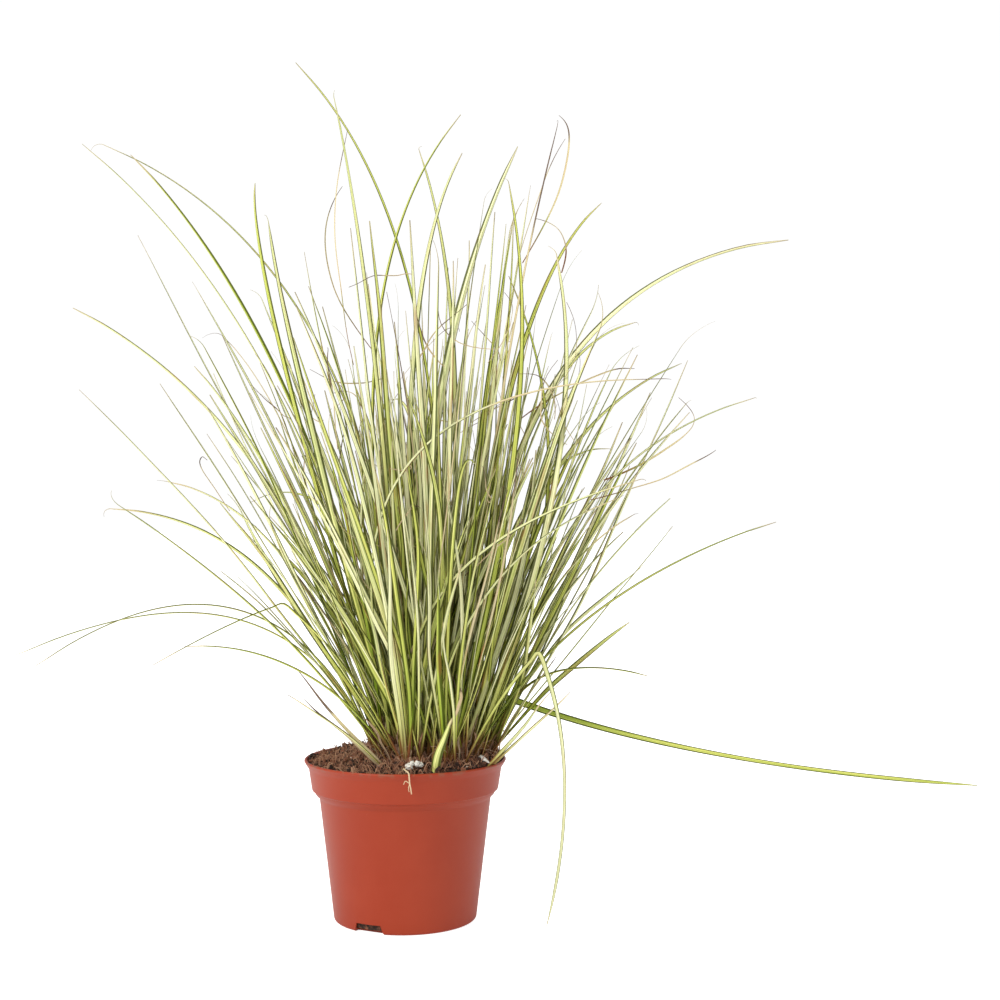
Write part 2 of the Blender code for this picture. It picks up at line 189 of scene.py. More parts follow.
class PotLook(PropertyGroup):
    wall: length("Wall", "Thickness of the pot's wall", 0.0013)
    floor: length("Floor", "Thickness of the pot's floor", 0.0016)
    lip_depth: length("Lip depth", "Height of the flared lip above the collar", 0.0055)
    lip_flare: length("Lip flare", "How far the lip stands out past the collar", 0.0027)
    collar_depth: length("Collar depth", "From the lip down to the foot of the collar", 0.0185)
    collar_taper: length("Collar taper", "How much the collar narrows to its foot", 0.0018)
    step_depth: length("Step", "Height of the rounded step under the collar", 0.0045)
    step_width: length("Step width", "How far the step goes in from the collar to the body", 0.0046)
    foot_radius: length("Foot radius", "Radius of the body at its foot", 0.0427)
    foot_round: length("Foot rounding", "Rounding of the foot's edge", 0.0018)
    notch_width: length("Notch width", "Width of the corner notches in the foot", 0.019)
    notch_height: length("Notch height", "Height of the corner notches", 0.0055)
    notch_depth: length("Notch depth", "How far the notches reach in from the body", 0.0055)
    drain_radius: length("Drain hole radius", "Radius of the drain holes", 0.0035)
    drain_ring: length("Drain ring", "Radius of the ring that the drain holes lie on", 0.026)
    sides: count("Sides", "Number of sides of the turned wall", 144)
    plastic: colour("Plastic", "Colour of the plastic", (0.286, 0.0275, 0.0050))
    faded: colour("Faded plastic", "Colour of the plastic where it has faded", (0.312, 0.035, 0.009))
    scuff: colour("Scuffs", "Colour of scuffs and dust", (0.62, 0.26, 0.17))
    dirt: colour("Dirt", "Colour of the small dark marks", (0.10, 0.02, 0.012))
    soil: colour("Soil", "Colour of the soil smeared under the lip", (0.20, 0.085, 0.045))


class MixLook(PropertyGroup):
    heap_radius: length("Heap radius", "Radius of the heap under the crown", 0.055)
    heap_rise: length("Heap rise", "Height of the heap under the crown", 0.0070)
    fill_up: length("Fill", "How far the surface lies above its solid's edge", 0.0009)
    tilt: length("Tilt", "How much higher the surface is at the back than in the middle", 0.0014)
    lump: length("Lumps", "Height of the lumps of the surface", 0.0024)
    grit: length("Grit", "Height of the finest relief of the surface", 0.0018)
    rings: count("Rings", "Rings of points across the surface", 96)
    sides: count("Sides", "Points round the surface", 224)
    crumbs: count("Crumbs", "Loose crumbs of peat on the surface", 2300)
    chips: count("Bark chips", "Flat chips of bark on the surface", 190)
    fibres: count("Fibres", "Curled fibres of peat on the surface", 1500)
    specks: count("Perlite specks", "Small broken grains of perlite", 46)
    peat: colour("Peat", "Colour of damp peat", (0.022, 0.0085, 0.004))
    dry_peat: colour("Dry peat", "Colour of peat that has dried", (0.215, 0.082, 0.041))
    bark: colour("Bark", "Colour of the bark chips", (0.220, 0.080, 0.035))
    fibre: colour("Fibre", "Colour of the peat fibres", (0.560, 0.320, 0.190))
    perlite: colour("Perlite", "Colour of the perlite", (0.80, 0.78, 0.71))


class GrassLook(PropertyGroup):
    thickness: length("Thickness", "Thickness of a leaf", 0.00032)
    slimness: share("Slimness", "Width of a leaf as a share of its solid's width", 0.80)
    bury: length("Bury", "How deep the foot of a leaf stands in the mix", 0.0050)
    stations: count("Stations", "Sections along a leaf", 46)
    bundle: count("Leaves in a bundle", "Leaves that stand for one tuft", 40)
    wisp_share: share("Wisps", "Share of the leaves of a bundle that end in a curling thread", 0.25)
    curls: count("Dry curls", "Thin dried ends that curl among the leaves", 44)
    dead_share: share("Dead leaves", "Share of the leaves of a bundle that have dried", 0.05)
    root_spread: length("Root spread", "Radius of the patch that a bundle rises from", 0.0085)
    tip_spread: length("Tip spread", "How far the tips of a bundle spread", 0.031)
    widest_lean: share("Widest lean", "How far past its tuft a leaf leans, as a share of its reach", 0.35)
    narrowest: length("Narrowest leaf", "Width of the narrowest leaf of a bundle", 0.0014)
    widest: length("Widest leaf", "Width of the widest leaf of a bundle", 0.0044)
    sheaths: count("Old sheaths", "Dry papery sheaths round the crown", 240)
    threads: count("Root threads", "Hair-like roots between the leaf bases", 200)
    cream: colour("Cream", "Colour of the palest leaves", (0.900, 0.870, 0.550))
    lime: colour("Lime", "Colour of most of a leaf", (0.745, 0.730, 0.205))
    # The green colour also paints shade down the groove of each leaf's fold.
    green: colour("Green", "Colour of the greenest leaves", (0.215, 0.335, 0.014))
    # The edge colour is the leaves' dark green margins, and painted shade where one edge of a leaf is made
    # wider.
    edge: colour("Edge", "Colour of the dark edges and stripes", (0.040, 0.055, 0.002))
    sheath: colour("Sheath", "Colour of the foot of a leaf", (0.200, 0.060, 0.026))
    straw: colour("Straw", "Colour of dried leaf", (0.620, 0.500, 0.300))
    rust: colour("Rust", "Colour of rusty blotches", (0.360, 0.130, 0.035))
    dead: colour("Dead tip", "Colour of the driest tips", (0.090, 0.045, 0.042))
    paper: colour("Paper", "Colour of the old sheaths", (0.480, 0.270, 0.180))
    thread: colour("Thread", "Colour of the palest root threads", (0.62, 0.47, 0.34))


class StudioLook(PropertyGroup):
    distance: length("Camera distance", "Distance of the camera in front of the pot's axis", 0.95)
    camera_x: length("Camera place", "How far right of the pot's axis the camera stands", 0.0567)
    camera_height: length("Camera height", "Height of the camera above the floor", 0.25)
    lens: quantity("Lens", "Focal length of the camera", 57.0, "CAMERA")
    floor_radius: length("Floor radius", "Radius of the pale floor", 12.0)
    sky: share("Sky", "Brightness of the light from all round", 0.69)
    key: quantity("Key light", "Power of the main light", 20.5, "POWER")
    fill: quantity("Fill light", "Power of the second light", 2.0, "POWER")
    top: quantity("Top light", "Power of the light above", 6.6, "POWER")
    floor_glow: share("Floor glow", "Brightness of the floor as it is seen, so that it stays pale", 0.80)
    floor_light: share("Floor light", "Light that the floor throws on the plant", 0.18)


# Shader nodes


def feed(tree, node, inputs):
    """Links each given socket to the node's input of that name, and sets anything else as its value."""
    for key, value in inputs.items():
        if isinstance(value, bpy.types.NodeSocket):
            tree.links.new(value, node.inputs[key])
        else:
            node.inputs[key].default_value = value


def add_node(tree, kind, inputs=None, **settings):
    node = tree.nodes.new(kind)
    for name, value in settings.items():
        setattr(node, name, value)
    feed(tree, node, inputs or {})
    return node


def maths(tree, operation, *values, clamp=False):
    node = add_node(tree, "ShaderNodeMath", dict(enumerate(values)), operation=operation, use_clamp=clamp)
    return node.outputs[0]


def smooth_step(tree, value, low, high):
    """0 below low, 1 above high, and a smooth rise between them."""
    inputs = {"Value": value, "From Min": low, "From Max": high}
    node = add_node(tree, "ShaderNodeMapRange", inputs, interpolation_type="SMOOTHSTEP")
    return node.outputs["Result"]


def mixed(tree, amount, first, second):
    """A colour that goes from first to second."""
    inputs = {0: amount, 6: rgba(first), 7: rgba(second)}
    return add_node(tree, "ShaderNodeMix", inputs, data_type="RGBA").outputs[2]


def laid_over(tree, base, mask, strength, over):
    """The base colour with another laid over it where the mask is."""
    return mixed(tree, maths(tree, "MULTIPLY", mask, strength), base, over)


def rgba(value):
    return value if isinstance(value, bpy.types.NodeSocket) else (*value[:3], 1.0)


def noise_value(tree, vector, scale, detail=2.0, roughness=0.5):
    inputs = {"Vector": vector, "Scale": scale, "Detail": detail, "Roughness": roughness}
    return add_node(tree, "ShaderNodeTexNoise", inputs).outputs[0]


def joined(tree, x, y, z):
    return add_node(tree, "ShaderNodeCombineXYZ", {0: x, 1: y, 2: z}).outputs[0]


def object_place(tree):
    return add_node(tree, "ShaderNodeTexCoord").outputs["Object"]


def surface_values(tree, name):
    """The three values that a piece holds at each point under this name."""
    attribute = add_node(tree, "ShaderNodeAttribute", attribute_name=name)
    return add_node(tree, "ShaderNodeSeparateXYZ", {0: attribute.outputs["Vector"]}).outputs


NUMBER = "NodeSocketFloat"
COLOUR = "NodeSocketColor"


def new_group(name, inputs, outputs):
    """A node group with named sockets: its tree, the sockets that bring its inputs, and its output node."""
    tree = bpy.data.node_groups.new(name, "ShaderNodeTree")
    for socket_name, default in inputs.items():
        kind = COLOUR if isinstance(default, tuple) else NUMBER
        socket = tree.interface.new_socket(name=socket_name, in_out="INPUT", socket_type=kind)
        socket.default_value = default
    for socket_name, kind in outputs.items():
        tree.interface.new_socket(name=socket_name, in_out="OUTPUT", socket_type=kind)
    given = tree.nodes.new("NodeGroupInput").outputs
    return tree, given, tree.nodes.new("NodeGroupOutput")


def use_group(tree, name, maker, **inputs):
    """Places the named group, which its maker builds the first time."""
    group = bpy.data.node_groups.get(name) or maker(name)
    named = {key.capitalize(): value for key, value in inputs.items()}
    return add_node(tree, "ShaderNodeGroup", named, node_tree=group).outputs


def make_streaks(name):
    """Fine lines that run along a leaf, a sheath or a fibre."""
    inputs = {"Across": 0.0, "Along": 0.0, "Seed": 0.0, "Lines": 4.0}
    tree, given, out = new_group(name, inputs, {"Fine": NUMBER, "Broad": NUMBER})
    shift = maths(tree, "MULTIPLY", given["Seed"], 57.0)
    across = maths(tree, "MULTIPLY_ADD", given["Across"], given["Lines"], shift)
    fine_place = joined(tree, across, maths(tree, "MULTIPLY", given["Along"], 9.0), shift)
    fine = smooth_step(tree, noise_value(tree, fine_place, 1.0), 0.36, 0.64)
    half = maths(tree, "MULTIPLY", across, 0.37)
    broad_place = joined(tree, half, maths(tree, "MULTIPLY", given["Along"], 5.0), shift)
    broad = smooth_step(tree, noise_value(tree, broad_place, 1.0, 1.0), 0.40, 0.62)
    feed(tree, out, {"Fine": fine, "Broad": broad})
    return tree


def make_mottle(name):
    """Uneven colour between a dark and a light tone."""
    inputs = {"Dark": (0.1, 0.1, 0.1, 1.0), "Light": (0.5, 0.5, 0.5, 1.0), "Scale": 100.0, "Shift": 0.0}
    tree, given, out = new_group(name, inputs, {"Colour": COLOUR, "Value": NUMBER})
    value = noise_value(tree, object_place(tree), given["Scale"], 4.0, 0.6)
    moved = maths(tree, "ADD", value, given["Shift"])
    amount = smooth_step(tree, moved, 0.32, 0.68)
    feed(tree, out, {"Colour": mixed(tree, amount, given["Dark"], given["Light"]), "Value": value})
    return tree


def make_specks(name):
    """Sparse small marks: scuffs and dirt on plastic, dirt on perlite."""
    inputs = {"Scale": 100.0, "Amount": 0.2, "Stretch": 1.0}
    tree, given, out = new_group(name, inputs, {"Mask": NUMBER})
    parts = add_node(tree, "ShaderNodeSeparateXYZ", {0: object_place(tree)}).outputs
    place = joined(tree, parts[0], parts[1], maths(tree, "DIVIDE", parts[2], given["Stretch"]))
    value = noise_value(tree, place, given["Scale"], 3.0, 0.65)
    limit = maths(tree, "MULTIPLY_ADD", given["Amount"], -0.4, 0.78)
    feed(tree, out, {"Mask": smooth_step(tree, maths(tree, "SUBTRACT", value, limit), 0.0, 0.05)})
    return tree


def make_dry_ends(name):
    """How dry a leaf is: it rises towards the tip, with an uneven front."""
    inputs = {"Along": 0.0, "Across": 0.0, "Seed": 0.0, "Dry": 0.1}
    tree, given, out = new_group(name, inputs, {"Dry": NUMBER, "Dead": NUMBER})
    shift = maths(tree, "MULTIPLY", given["Seed"], 91.0)
    place = joined(tree, given["Across"], maths(tree, "MULTIPLY", given["Along"], 22.0), shift)
    ragged = maths(tree, "MULTIPLY", maths(tree, "SUBTRACT", noise_value(tree, place, 1.3), 0.5), 0.10)
    along = maths(tree, "ADD", given["Along"], ragged)
    start = maths(tree, "SUBTRACT", 1.0, given["Dry"])
    past = maths(tree, "SUBTRACT", along, start)
    last = maths(tree, "SUBTRACT", past, maths(tree, "MULTIPLY", given["Dry"], 0.75))
    dry, dead = smooth_step(tree, past, -0.02, 0.06), smooth_step(tree, last, -0.02, 0.05)
    feed(tree, out, {"Dry": dry, "Dead": dead})
    return tree


def new_material(name):
    material = bpy.data.materials.new(name)
    material.use_nodes = True
    tree = material.node_tree
    return material, tree, tree.nodes["Principled BSDF"]


def surface(tree, shader, base, roughness, height, distance, strength=1.0):
    """Gives a material its colour, its roughness and the fine relief of a height."""
    bump = add_node(tree, "ShaderNodeBump", {"Height": height, "Distance": distance, "Strength": strength})
    feed(tree, shader, {"Base Color": base, "Roughness": roughness, "Normal": bump.outputs["Normal"]})


def ranged(tree, value, low, high):
    return add_node(tree, "ShaderNodeMapRange", {"Value": value, "To Min": low, "To Max": high}).outputs[0]


def streaked(tree, lines):
    """The streaks of a blade or fibre, fine and broad, and the three values of its tone."""
    place, tone = surface_values(tree, "blade"), surface_values(tree, "tone")
    given = {"across": place[0], "along": place[2], "seed": tone[0], "lines": lines}
    return use_group(tree, "streaks", make_streaks, **given), tone


def plastic_material(look):
    """Satin injection-moulded plastic, faded here and there, with scuffs and a little soil near the lip."""
    material, tree, shader = new_material("satin terracotta plastic")
    base = use_group(tree, "mottle", make_mottle, dark=rgba(look.plastic), light=rgba(look.faded), scale=16.0)
    scuffs = use_group(tree, "specks", make_specks, scale=240.0, amount=0.10, stretch=0.6)["Mask"]
    rubbed = laid_over(tree, base["Colour"], scuffs, 0.5, look.scuff)
    dirt = use_group(tree, "specks", make_specks, scale=420.0, amount=0.08, stretch=1.0)["Mask"]
    marked = laid_over(tree, rubbed, dirt, 0.7, look.dirt)
    height = add_node(tree, "ShaderNodeSeparateXYZ", {0: object_place(tree)}).outputs[2]
    near_lip = smooth_step(tree, height, POT_HIGH.z - 0.0035, POT_HIGH.z - 0.0003)
    smear = smooth_step(tree, noise_value(tree, object_place(tree), 210.0, 4.0), 0.50, 0.62)
    soiled = laid_over(tree, marked, maths(tree, "MULTIPLY", near_lip, smear), 0.55, look.soil)
    grain = noise_value(tree, object_place(tree), 1500.0)
    feed(tree, shader, {"Specular IOR Level": 0.30})
    surface(tree, shader, soiled, ranged(tree, base["Value"], 0.36, 0.52), grain, 0.00004, 0.5)
    return material


def ground_material(name, dark, light, scale, relief, roughness=0.95):
    """Damp peat, bark or crumbs: mottled, matt and rough, with each piece in its own tone."""
    material, tree, shader = new_material(name)
    tone = surface_values(tree, "tone")
    shift = maths(tree, "MULTIPLY_ADD", tone[0], 0.60, -0.34)
    tones = {"dark": rgba(dark), "light": rgba(light), "scale": scale, "shift": shift}
    base = use_group(tree, "mottle", make_mottle, **tones)
    surface(tree, shader, base["Colour"], roughness, base["Value"], relief)
    return material


def perlite_material(look):
    """Expanded perlite: bright, pitted and a little dirty."""
    material, tree, shader = new_material("expanded perlite")
    shade = tuple(value * 0.72 for value in look.perlite)
    base = use_group(tree, "mottle", make_mottle, dark=rgba(shade), light=rgba(look.perlite), scale=520.0)
    dirt = use_group(tree, "specks", make_specks, scale=800.0, amount=0.45, stretch=1.0)["Mask"]
    soiled = laid_over(tree, base["Colour"], dirt, 0.75, look.dry_peat)
    surface(tree, shader, soiled, 0.9, base["Value"], 0.0005)
    return material


def fibre_material(name, dark, light):
    """Dry root and peat fibre: streaked along its length, each one in its own tone."""
    material, tree, shader = new_material(name)
    streaks, tone = streaked(tree, 2.0)
    base = mixed(tree, tone[0], dark, light)
    lined = mixed(tree, streaks["Broad"], base, mixed(tree, 0.5, base, dark))
    surface(tree, shader, lined, 0.8, streaks["Fine"], 0.0001)
    return material


def leaf_material(look):
    """A variegated leaf: pale body, green stripes, painted shade down its fold, dark edges partly painted
    shade, a brown foot and a dry tip.
    """
    material, tree, shader = new_material("variegated leaf")
    across, along, metres = surface_values(tree, "blade")
    seed, green, dryness = surface_values(tree, "tone")
    rust = add_node(tree, "ShaderNodeAttribute", attribute_name="rust").outputs["Fac"]
    streaks = use_group(tree, "streaks", make_streaks, across=across, along=metres, seed=seed, lines=4.5)

    # Body: cream where it is palest, lime over most of it, green low down and on the greener leaves.
    low = smooth_step(tree, along, 0.62, 0.05)
    depth = maths(tree, "MULTIPLY_ADD", low, 0.38, maths(tree, "MULTIPLY", green, 0.85))
    paleness = smooth_step(tree, depth, 0.10, 0.55)
    body = mixed(tree, paleness, look.cream, look.lime)
    body = mixed(tree, smooth_step(tree, depth, 0.55, 1.15), body, look.green)

    # Green stripes along the leaf, painted shade down its fold, then dark edges, wider on greener leaves and,
    # as painted shade, on one side.
    striped = maths(tree, "MULTIPLY_ADD", green, 0.45, 0.38)
    body = laid_over(tree, body, streaks["Fine"], striped, look.green)
    reach = maths(tree, "ABSOLUTE", across)
    # A green line down the middle of the leaf: painted shade in the groove of its fold.
    body = laid_over(tree, body, smooth_step(tree, reach, 0.16, 0.04), 0.40, look.green)
    # The dark edges are the leaf's green margins, made wider on one side of each leaf as painted shade of a
    # shaded side.
    painted_shade_side = maths(tree, "MULTIPLY", across, maths(tree, "MULTIPLY_ADD", seed, 0.5, -0.25))
    edge_and_shade_start = maths(tree, "ADD", maths(tree, "MULTIPLY_ADD", green, -0.30, 0.70), painted_shade_side)
    uneven = maths(tree, "MULTIPLY_ADD", streaks["Broad"], -0.16, edge_and_shade_start)
    edge_and_shade_mask = smooth_step(tree, maths(tree, "SUBTRACT", reach, uneven), 0.0, 0.12)
    body = laid_over(tree, body, edge_and_shade_mask, 0.90, look.edge)

    # Rusty blotches, the brown foot, and the dry tip.
    blot_along, blot_seed = maths(tree, "MULTIPLY", metres, 55.0), maths(tree, "MULTIPLY", seed, 43.0)
    blot_place = joined(tree, across, blot_along, blot_seed)
    blot = smooth_step(tree, noise_value(tree, blot_place, 0.8), 0.52, 0.66)
    body = laid_over(tree, body, blot, rust, look.rust)
    ragged = maths(tree, "MULTIPLY_ADD", streaks["Broad"], 0.012, metres)
    body = laid_over(tree, body, smooth_step(tree, ragged, 0.036, 0.012), 0.92, look.sheath)
    ends = use_group(tree, "dry ends", make_dry_ends, along=along, across=across, seed=seed, dry=dryness)
    body = laid_over(tree, body, ends["Dry"], 0.75, look.straw)
    body = laid_over(tree, body, ends["Dead"], 0.85, look.dead)
    feed(tree, shader, {"Specular IOR Level": 0.08})
    surface(tree, shader, body, ranged(tree, streaks["Fine"], 0.46, 0.62), streaks["Fine"], 0.00012, 0.7)
    return material


def paper_material(look):
    """Old leaf sheaths: papery, pinkish brown and streaked."""
    material, tree, shader = new_material("old leaf sheath")
    streaks, tone = streaked(tree, 5.0)
    pale = mixed(tree, tone[2], mixed(tree, tone[0], look.sheath, look.paper), look.straw)
    lined = laid_over(tree, pale, streaks["Fine"], 0.6, look.sheath)
    surface(tree, shader, lined, 0.8, streaks["Fine"], 0.00015)
    return material


# Shapes


def linked(name, data):
    """A new object of the scene that holds this data."""
    obj = bpy.data.objects.new(name, data)
    bpy.context.scene.collection.objects.link(obj)
    return obj


def linked_bmesh(name, built):
    """A new object of the scene from what was built, which is freed."""
    data = bpy.data.meshes.new(name)
    built.to_mesh(data)
    built.free()
    return linked(name, data)


class Shape:
    """Gathers the points and faces of one piece, with the values that its material reads at each point."""

    def __init__(self):
        self.points = []
        self.faces = []
        self.values = defaultdict(list)
        self.map_places = []

    def add(self, points, faces, places=None, **values):
        """Adds points and faces counted from 0. A value is one for all the points, or a list."""
        start = len(self.points)
        self.points += points
        self.faces += [[start + corner for corner in face] for face in faces]
        for name, value in values.items():
            self.values[name] += value if isinstance(value, list) else [value] * len(points)
        self.map_places += places or []

    def object(self, name, material, crease=40):
        mesh = bpy.data.meshes.new(name)
        mesh.from_pydata(self.points, [], self.faces)
        for key, values in self.values.items():
            single = isinstance(values[0], float)
            layer = mesh.attributes.new(key, "FLOAT" if single else "FLOAT_VECTOR", "POINT")
            flat = values if single else [part for value in values for part in value]
            layer.data.foreach_set("value" if single else "vector", flat)
        if self.map_places:
            layer = mesh.uv_layers.new(name=BAKE_MAP)
            layer.data.foreach_set("uv", [part for place in self.map_places for part in place])
        mesh.materials.append(material)
        mesh.shade_smooth()
        mesh.set_sharp_from_angle(angle=math.radians(crease))
        return linked(name, mesh)


def place_piece(obj, slot, *nodes):
    """Makes a piece of the object stand for its nodes of the frame. The slot is not used."""
    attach(obj, "root")
    if nodes:
        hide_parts(*nodes)


def smooth_line(points, steps):
    """Catmull-Rom points through the given ones. Works on Vectors and on plain numbers."""
    found = []
    last = len(points) - 1
    for step in range(steps + 1):
        place = step / steps * last
        i = min(int(place), last - 1)
        t = place - i
        b, c = points[i], points[i + 1]
        a = points[i - 1] if i else b * 2 - c
        d = points[i + 2] if i + 2 <= last else c * 2 - b
        cubic = (d - c * 3 + b * 3 - a) * t ** 3 + (a * 2 - b * 5 + c * 4 - d) * t ** 2 + (c - a) * t
        found.append(b + cubic * 0.5)
    return found


def arc(start, middle, end, steps):
    """Points of the quadratic curve that passes through middle half way from start to end."""
    pull = middle * 2 - (start + end) / 2
    line = []
    for step in range(steps + 1):
        t = step / steps
        line.append(start * (1 - t) ** 2 + pull * 2 * t * (1 - t) + end * t ** 2)
    return line


def tangents(line):
    last = len(line) - 1
    return [(line[min(i + 1, last)] - line[max(i - 1, 0)]).normalized() for i in range(last + 1)]


def distances(line):
    total, found = 0.0, [0.0]
    for before, after in zip(line, line[1:]):
        total += (after - before).length
        found.append(total)
    return found


def turns(sides):
    """Even turns round a circle."""
    return [math.tau * side / sides for side in range(sides)]


def map_corners(stations, sides, column, columns, heights):
    """Map places for a swept shape's faces: a column of its own, with a small band for each end."""
    used = 1 - 2 * COLUMN_MARGIN
    edges = [column + COLUMN_MARGIN + used * side / sides for side in range(sides + 1)]
    rows = [CAP_BAND * 2 + (1 - CAP_BAND * 4) * height for height in heights]
    corners = []
    for i in range(stations - 1):
        for k in range(sides):
            corners += [
                (edges[k] / columns, rows[i]),
                (edges[k + 1] / columns, rows[i]),
                (edges[k + 1] / columns, rows[i + 1]),
                (edges[k] / columns, rows[i + 1]),
            ]
    round_end = turns(sides)
    for centre, order in ((CAP_BAND * 0.75, reversed(round_end)), (1 - CAP_BAND * 0.75, round_end)):
        for turn in order:
            across = column + 0.5 + 0.3 * math.cos(turn)
            corners.append((across / columns, centre + CAP_BAND * 0.6 * math.sin(turn)))
    return corners


def swept_faces(stations, sides):
    """Quads between the sections of a swept shape, then its two ends."""
    faces = []
    for i in range(stations - 1):
        low, high = i * sides, (i + 1) * sides
        for k in range(sides):
            after = (k + 1) % sides
            faces.append((low + k, low + after, high + after, high + k))
    faces.append(tuple(reversed(range(sides))))
    top = (stations - 1) * sides
    faces.append(tuple(range(top, top + sides)))
    return faces


Blade = namedtuple("Blade", "line ups half_widths fold tone rust")


def add_blade(shape, blade, thickness, column=0, columns=1):
    """A folded leaf swept along its line. Its ups point out of its upper side."""
    ways = tangents(blade.line)
    along = distances(blade.line)
    total = along[-1]
    sides = len(SECTION)
    points, values = [], []
    for centre, way, up, half, metres in zip(blade.line, ways, blade.ups, blade.half_widths, along):
        side = way.cross(up).normalized()
        up = side.cross(way)
        deep = min(thickness, half)
        for k, across in enumerate(SECTION):
            sunk = deep if k >= len(UPPER_SIDE) else 0.0
            lift = blade.fold * half * abs(across) - sunk
            points.append(centre + side * (across * half) + up * lift)
            values.append((across, metres / total, metres))
    stations = len(blade.line)
    places = map_corners(stations, sides, column, columns, [value / total for value in along])
    shape.add(points, swept_faces(stations, sides), places, blade=values, tone=blade.tone, rust=blade.rust)


def add_thread(shape, line, radius, tone, sides=5, column=0, columns=1, taper=0.6):
    """A thin round fibre along a line."""
    ways = tangents(line)
    along = distances(line)
    points, values = [], []
    up = ways[0].orthogonal().normalized()
    for centre, way, metres in zip(line, ways, along):
        up = (up - way * up.dot(way)).normalized()
        side = way.cross(up)
        share_along = metres / along[-1]
        size = radius * (1 - taper * share_along)
        for k, turn in enumerate(turns(sides)):
            points.append(centre + (side * math.cos(turn) - up * math.sin(turn)) * size)
            values.append((k / sides, share_along, metres))
    places = map_corners(len(line), sides, column, columns, [value / along[-1] for value in along])
    shape.add(points, swept_faces(len(line), sides), places, blade=values, tone=tone)


def ball(detail):
    """Points and faces of a unit icosphere."""
    mesh = bmesh.new()
    bmesh.ops.create_icosphere(mesh, subdivisions=detail, radius=1.0)
    points = [vertex.co.copy() for vertex in mesh.verts]
    faces = [[vertex.index for vertex in face.verts] for face in mesh.faces]
    mesh.free()
    return points, faces


def random_shift(rng):
    """A place of its own in the noise."""
    return Vector((rng.uniform(0, 90), rng.uniform(0, 90), rng.uniform(0, 90)))


def jitter(rng, spread, low, high):
    """A random step: normal across the floor, and even between two heights."""
    return Vector((rng.gauss(0, spread), rng.gauss(0, spread), rng.uniform(low, high)))


def add_ball(shape, unit, centre, size, stretch, turn, push, **values):
    """A ball pushed in and out by a function of the point on it, stretched and turned."""
    points, faces = unit
    made = []
    for point in points:
        out = push(point)
        made.append(centre + turn @ Vector(point[i] * stretch[i] * out * size for i in range(3)))
    shape.add(made, faces, **values)


def add_crumb(shape, unit, centre, size, stretch, rng, tone, rough):
    """An irregular crumb, turned at random."""
    turn = Matrix.Rotation(rng.uniform(0, math.tau), 3, Vector((rng.gauss(0, 1), rng.gauss(0, 1), 1)))
    shift = random_shift(rng)

    def push(point):
        return 1 + rough * noise.noise(point * 1.3 + shift) + rough * 0.4 * noise.noise(point * 3.7 + shift)

    add_ball(shape, unit, centre, size, stretch, turn, push, tone=tone)


# Pot


PotLine = namedtuple("PotLine", "lip height collar_top collar_foot foot_height body_top step_foot")


def pot_line(look):
    """The radii and heights that the pot's section turns on."""
    lip, height = POT_HIGH.x, POT_HIGH.z
    collar_top = lip - look.lip_flare
    collar_foot = collar_top - look.collar_taper
    foot_height = height - look.collar_depth
    body_top = collar_foot - look.step_width
    return PotLine(lip, height, collar_top, collar_foot, foot_height, body_top, foot_height - look.step_depth)


def pot_inside(look):
    """Radius and height up the inside of the wall, from the floor to the lip."""
    line, wall = pot_line(look), look.wall
    return [
        (look.foot_radius - wall, look.floor),
        (line.body_top - wall, line.step_foot + 0.0006),
        (line.collar_foot - wall, line.foot_height + 0.0006),
        (line.collar_top - wall, line.height - look.lip_depth),
        (line.lip - wall - 0.0004, line.height - 0.0006),
        (line.lip - wall, line.height - 0.0001),
    ]


def inner_radius(look, height):
    """Radius of the inside of the wall at a height."""
    inside = pot_inside(look)
    for (low_radius, low), (high_radius, high) in zip(inside, inside[1:]):
        if height <= high:
            return low_radius + (high_radius - low_radius) * max(0.0, height - low) / (high - low)
    return inside[-1][0]


def pot_profile(look):
    """Radius and height of the pot's section: up the inside from the floor, over the lip, to the foot."""
    lip, height, collar_top, collar_foot, foot_height, body_top, step_foot = pot_line(look)
    bead, rounding = 0.0008, 0.0012
    outside = [
        (lip - bead * (1 - math.sin(turn)), height - bead * (1 - math.cos(turn)))
        for turn in (math.radians(15 * step) for step in range(10))
    ]
    outside += [(lip - 0.0009, height - 0.0026), (collar_top + 0.0007, height - 0.0042)]
    outside += [(collar_top, height - look.lip_depth), (collar_foot, foot_height + rounding)]
    for step in range(1, 6):
        turn = math.radians(18 * step)
        drop = rounding * math.sin(turn)
        outside.append((collar_foot - rounding * (1 - math.cos(turn)), foot_height + rounding - drop))
    outside += [(body_top + 0.0022, step_foot + 0.0022), (body_top + 0.0008, step_foot + 0.0010)]
    outside += [(body_top, step_foot - 0.0004)]
    curve = look.foot_round
    for step in range(7):
        turn = math.radians(15 * step)
        outside.append((look.foot_radius - curve * (1 - math.cos(turn)), curve * (1 - math.sin(turn))))
    return [(0.0, look.floor), *pot_inside(look), *outside, (0.0, 0.0)]


def evaluated_mesh(obj):
    bpy.context.view_layer.update()
    return bpy.data.meshes.new_from_object(obj.evaluated_get(bpy.context.evaluated_depsgraph_get()))


def notch_cutter(look, angle):
    """A block with slanted ends, as the notch is moulded, across the foot at an angle in degrees."""
    inner, outer = look.foot_radius - look.notch_depth, look.foot_radius + 0.005
    below, top_share, foot_share = 0.002, 0.84, 1.10
    mesh = bmesh.new()
    bmesh.ops.create_cube(mesh, size=1.0)
    for vertex in mesh.verts:
        x = outer if vertex.co.x > 0 else inner
        top = vertex.co.z > 0
        width = look.notch_width * (top_share if top else foot_share)
        vertex.co = (x, width * vertex.co.y, look.notch_height if top else -below)
    cutter = linked_bmesh("notch", mesh)
    cutter.rotation_euler.z = math.radians(angle)
    return cutter


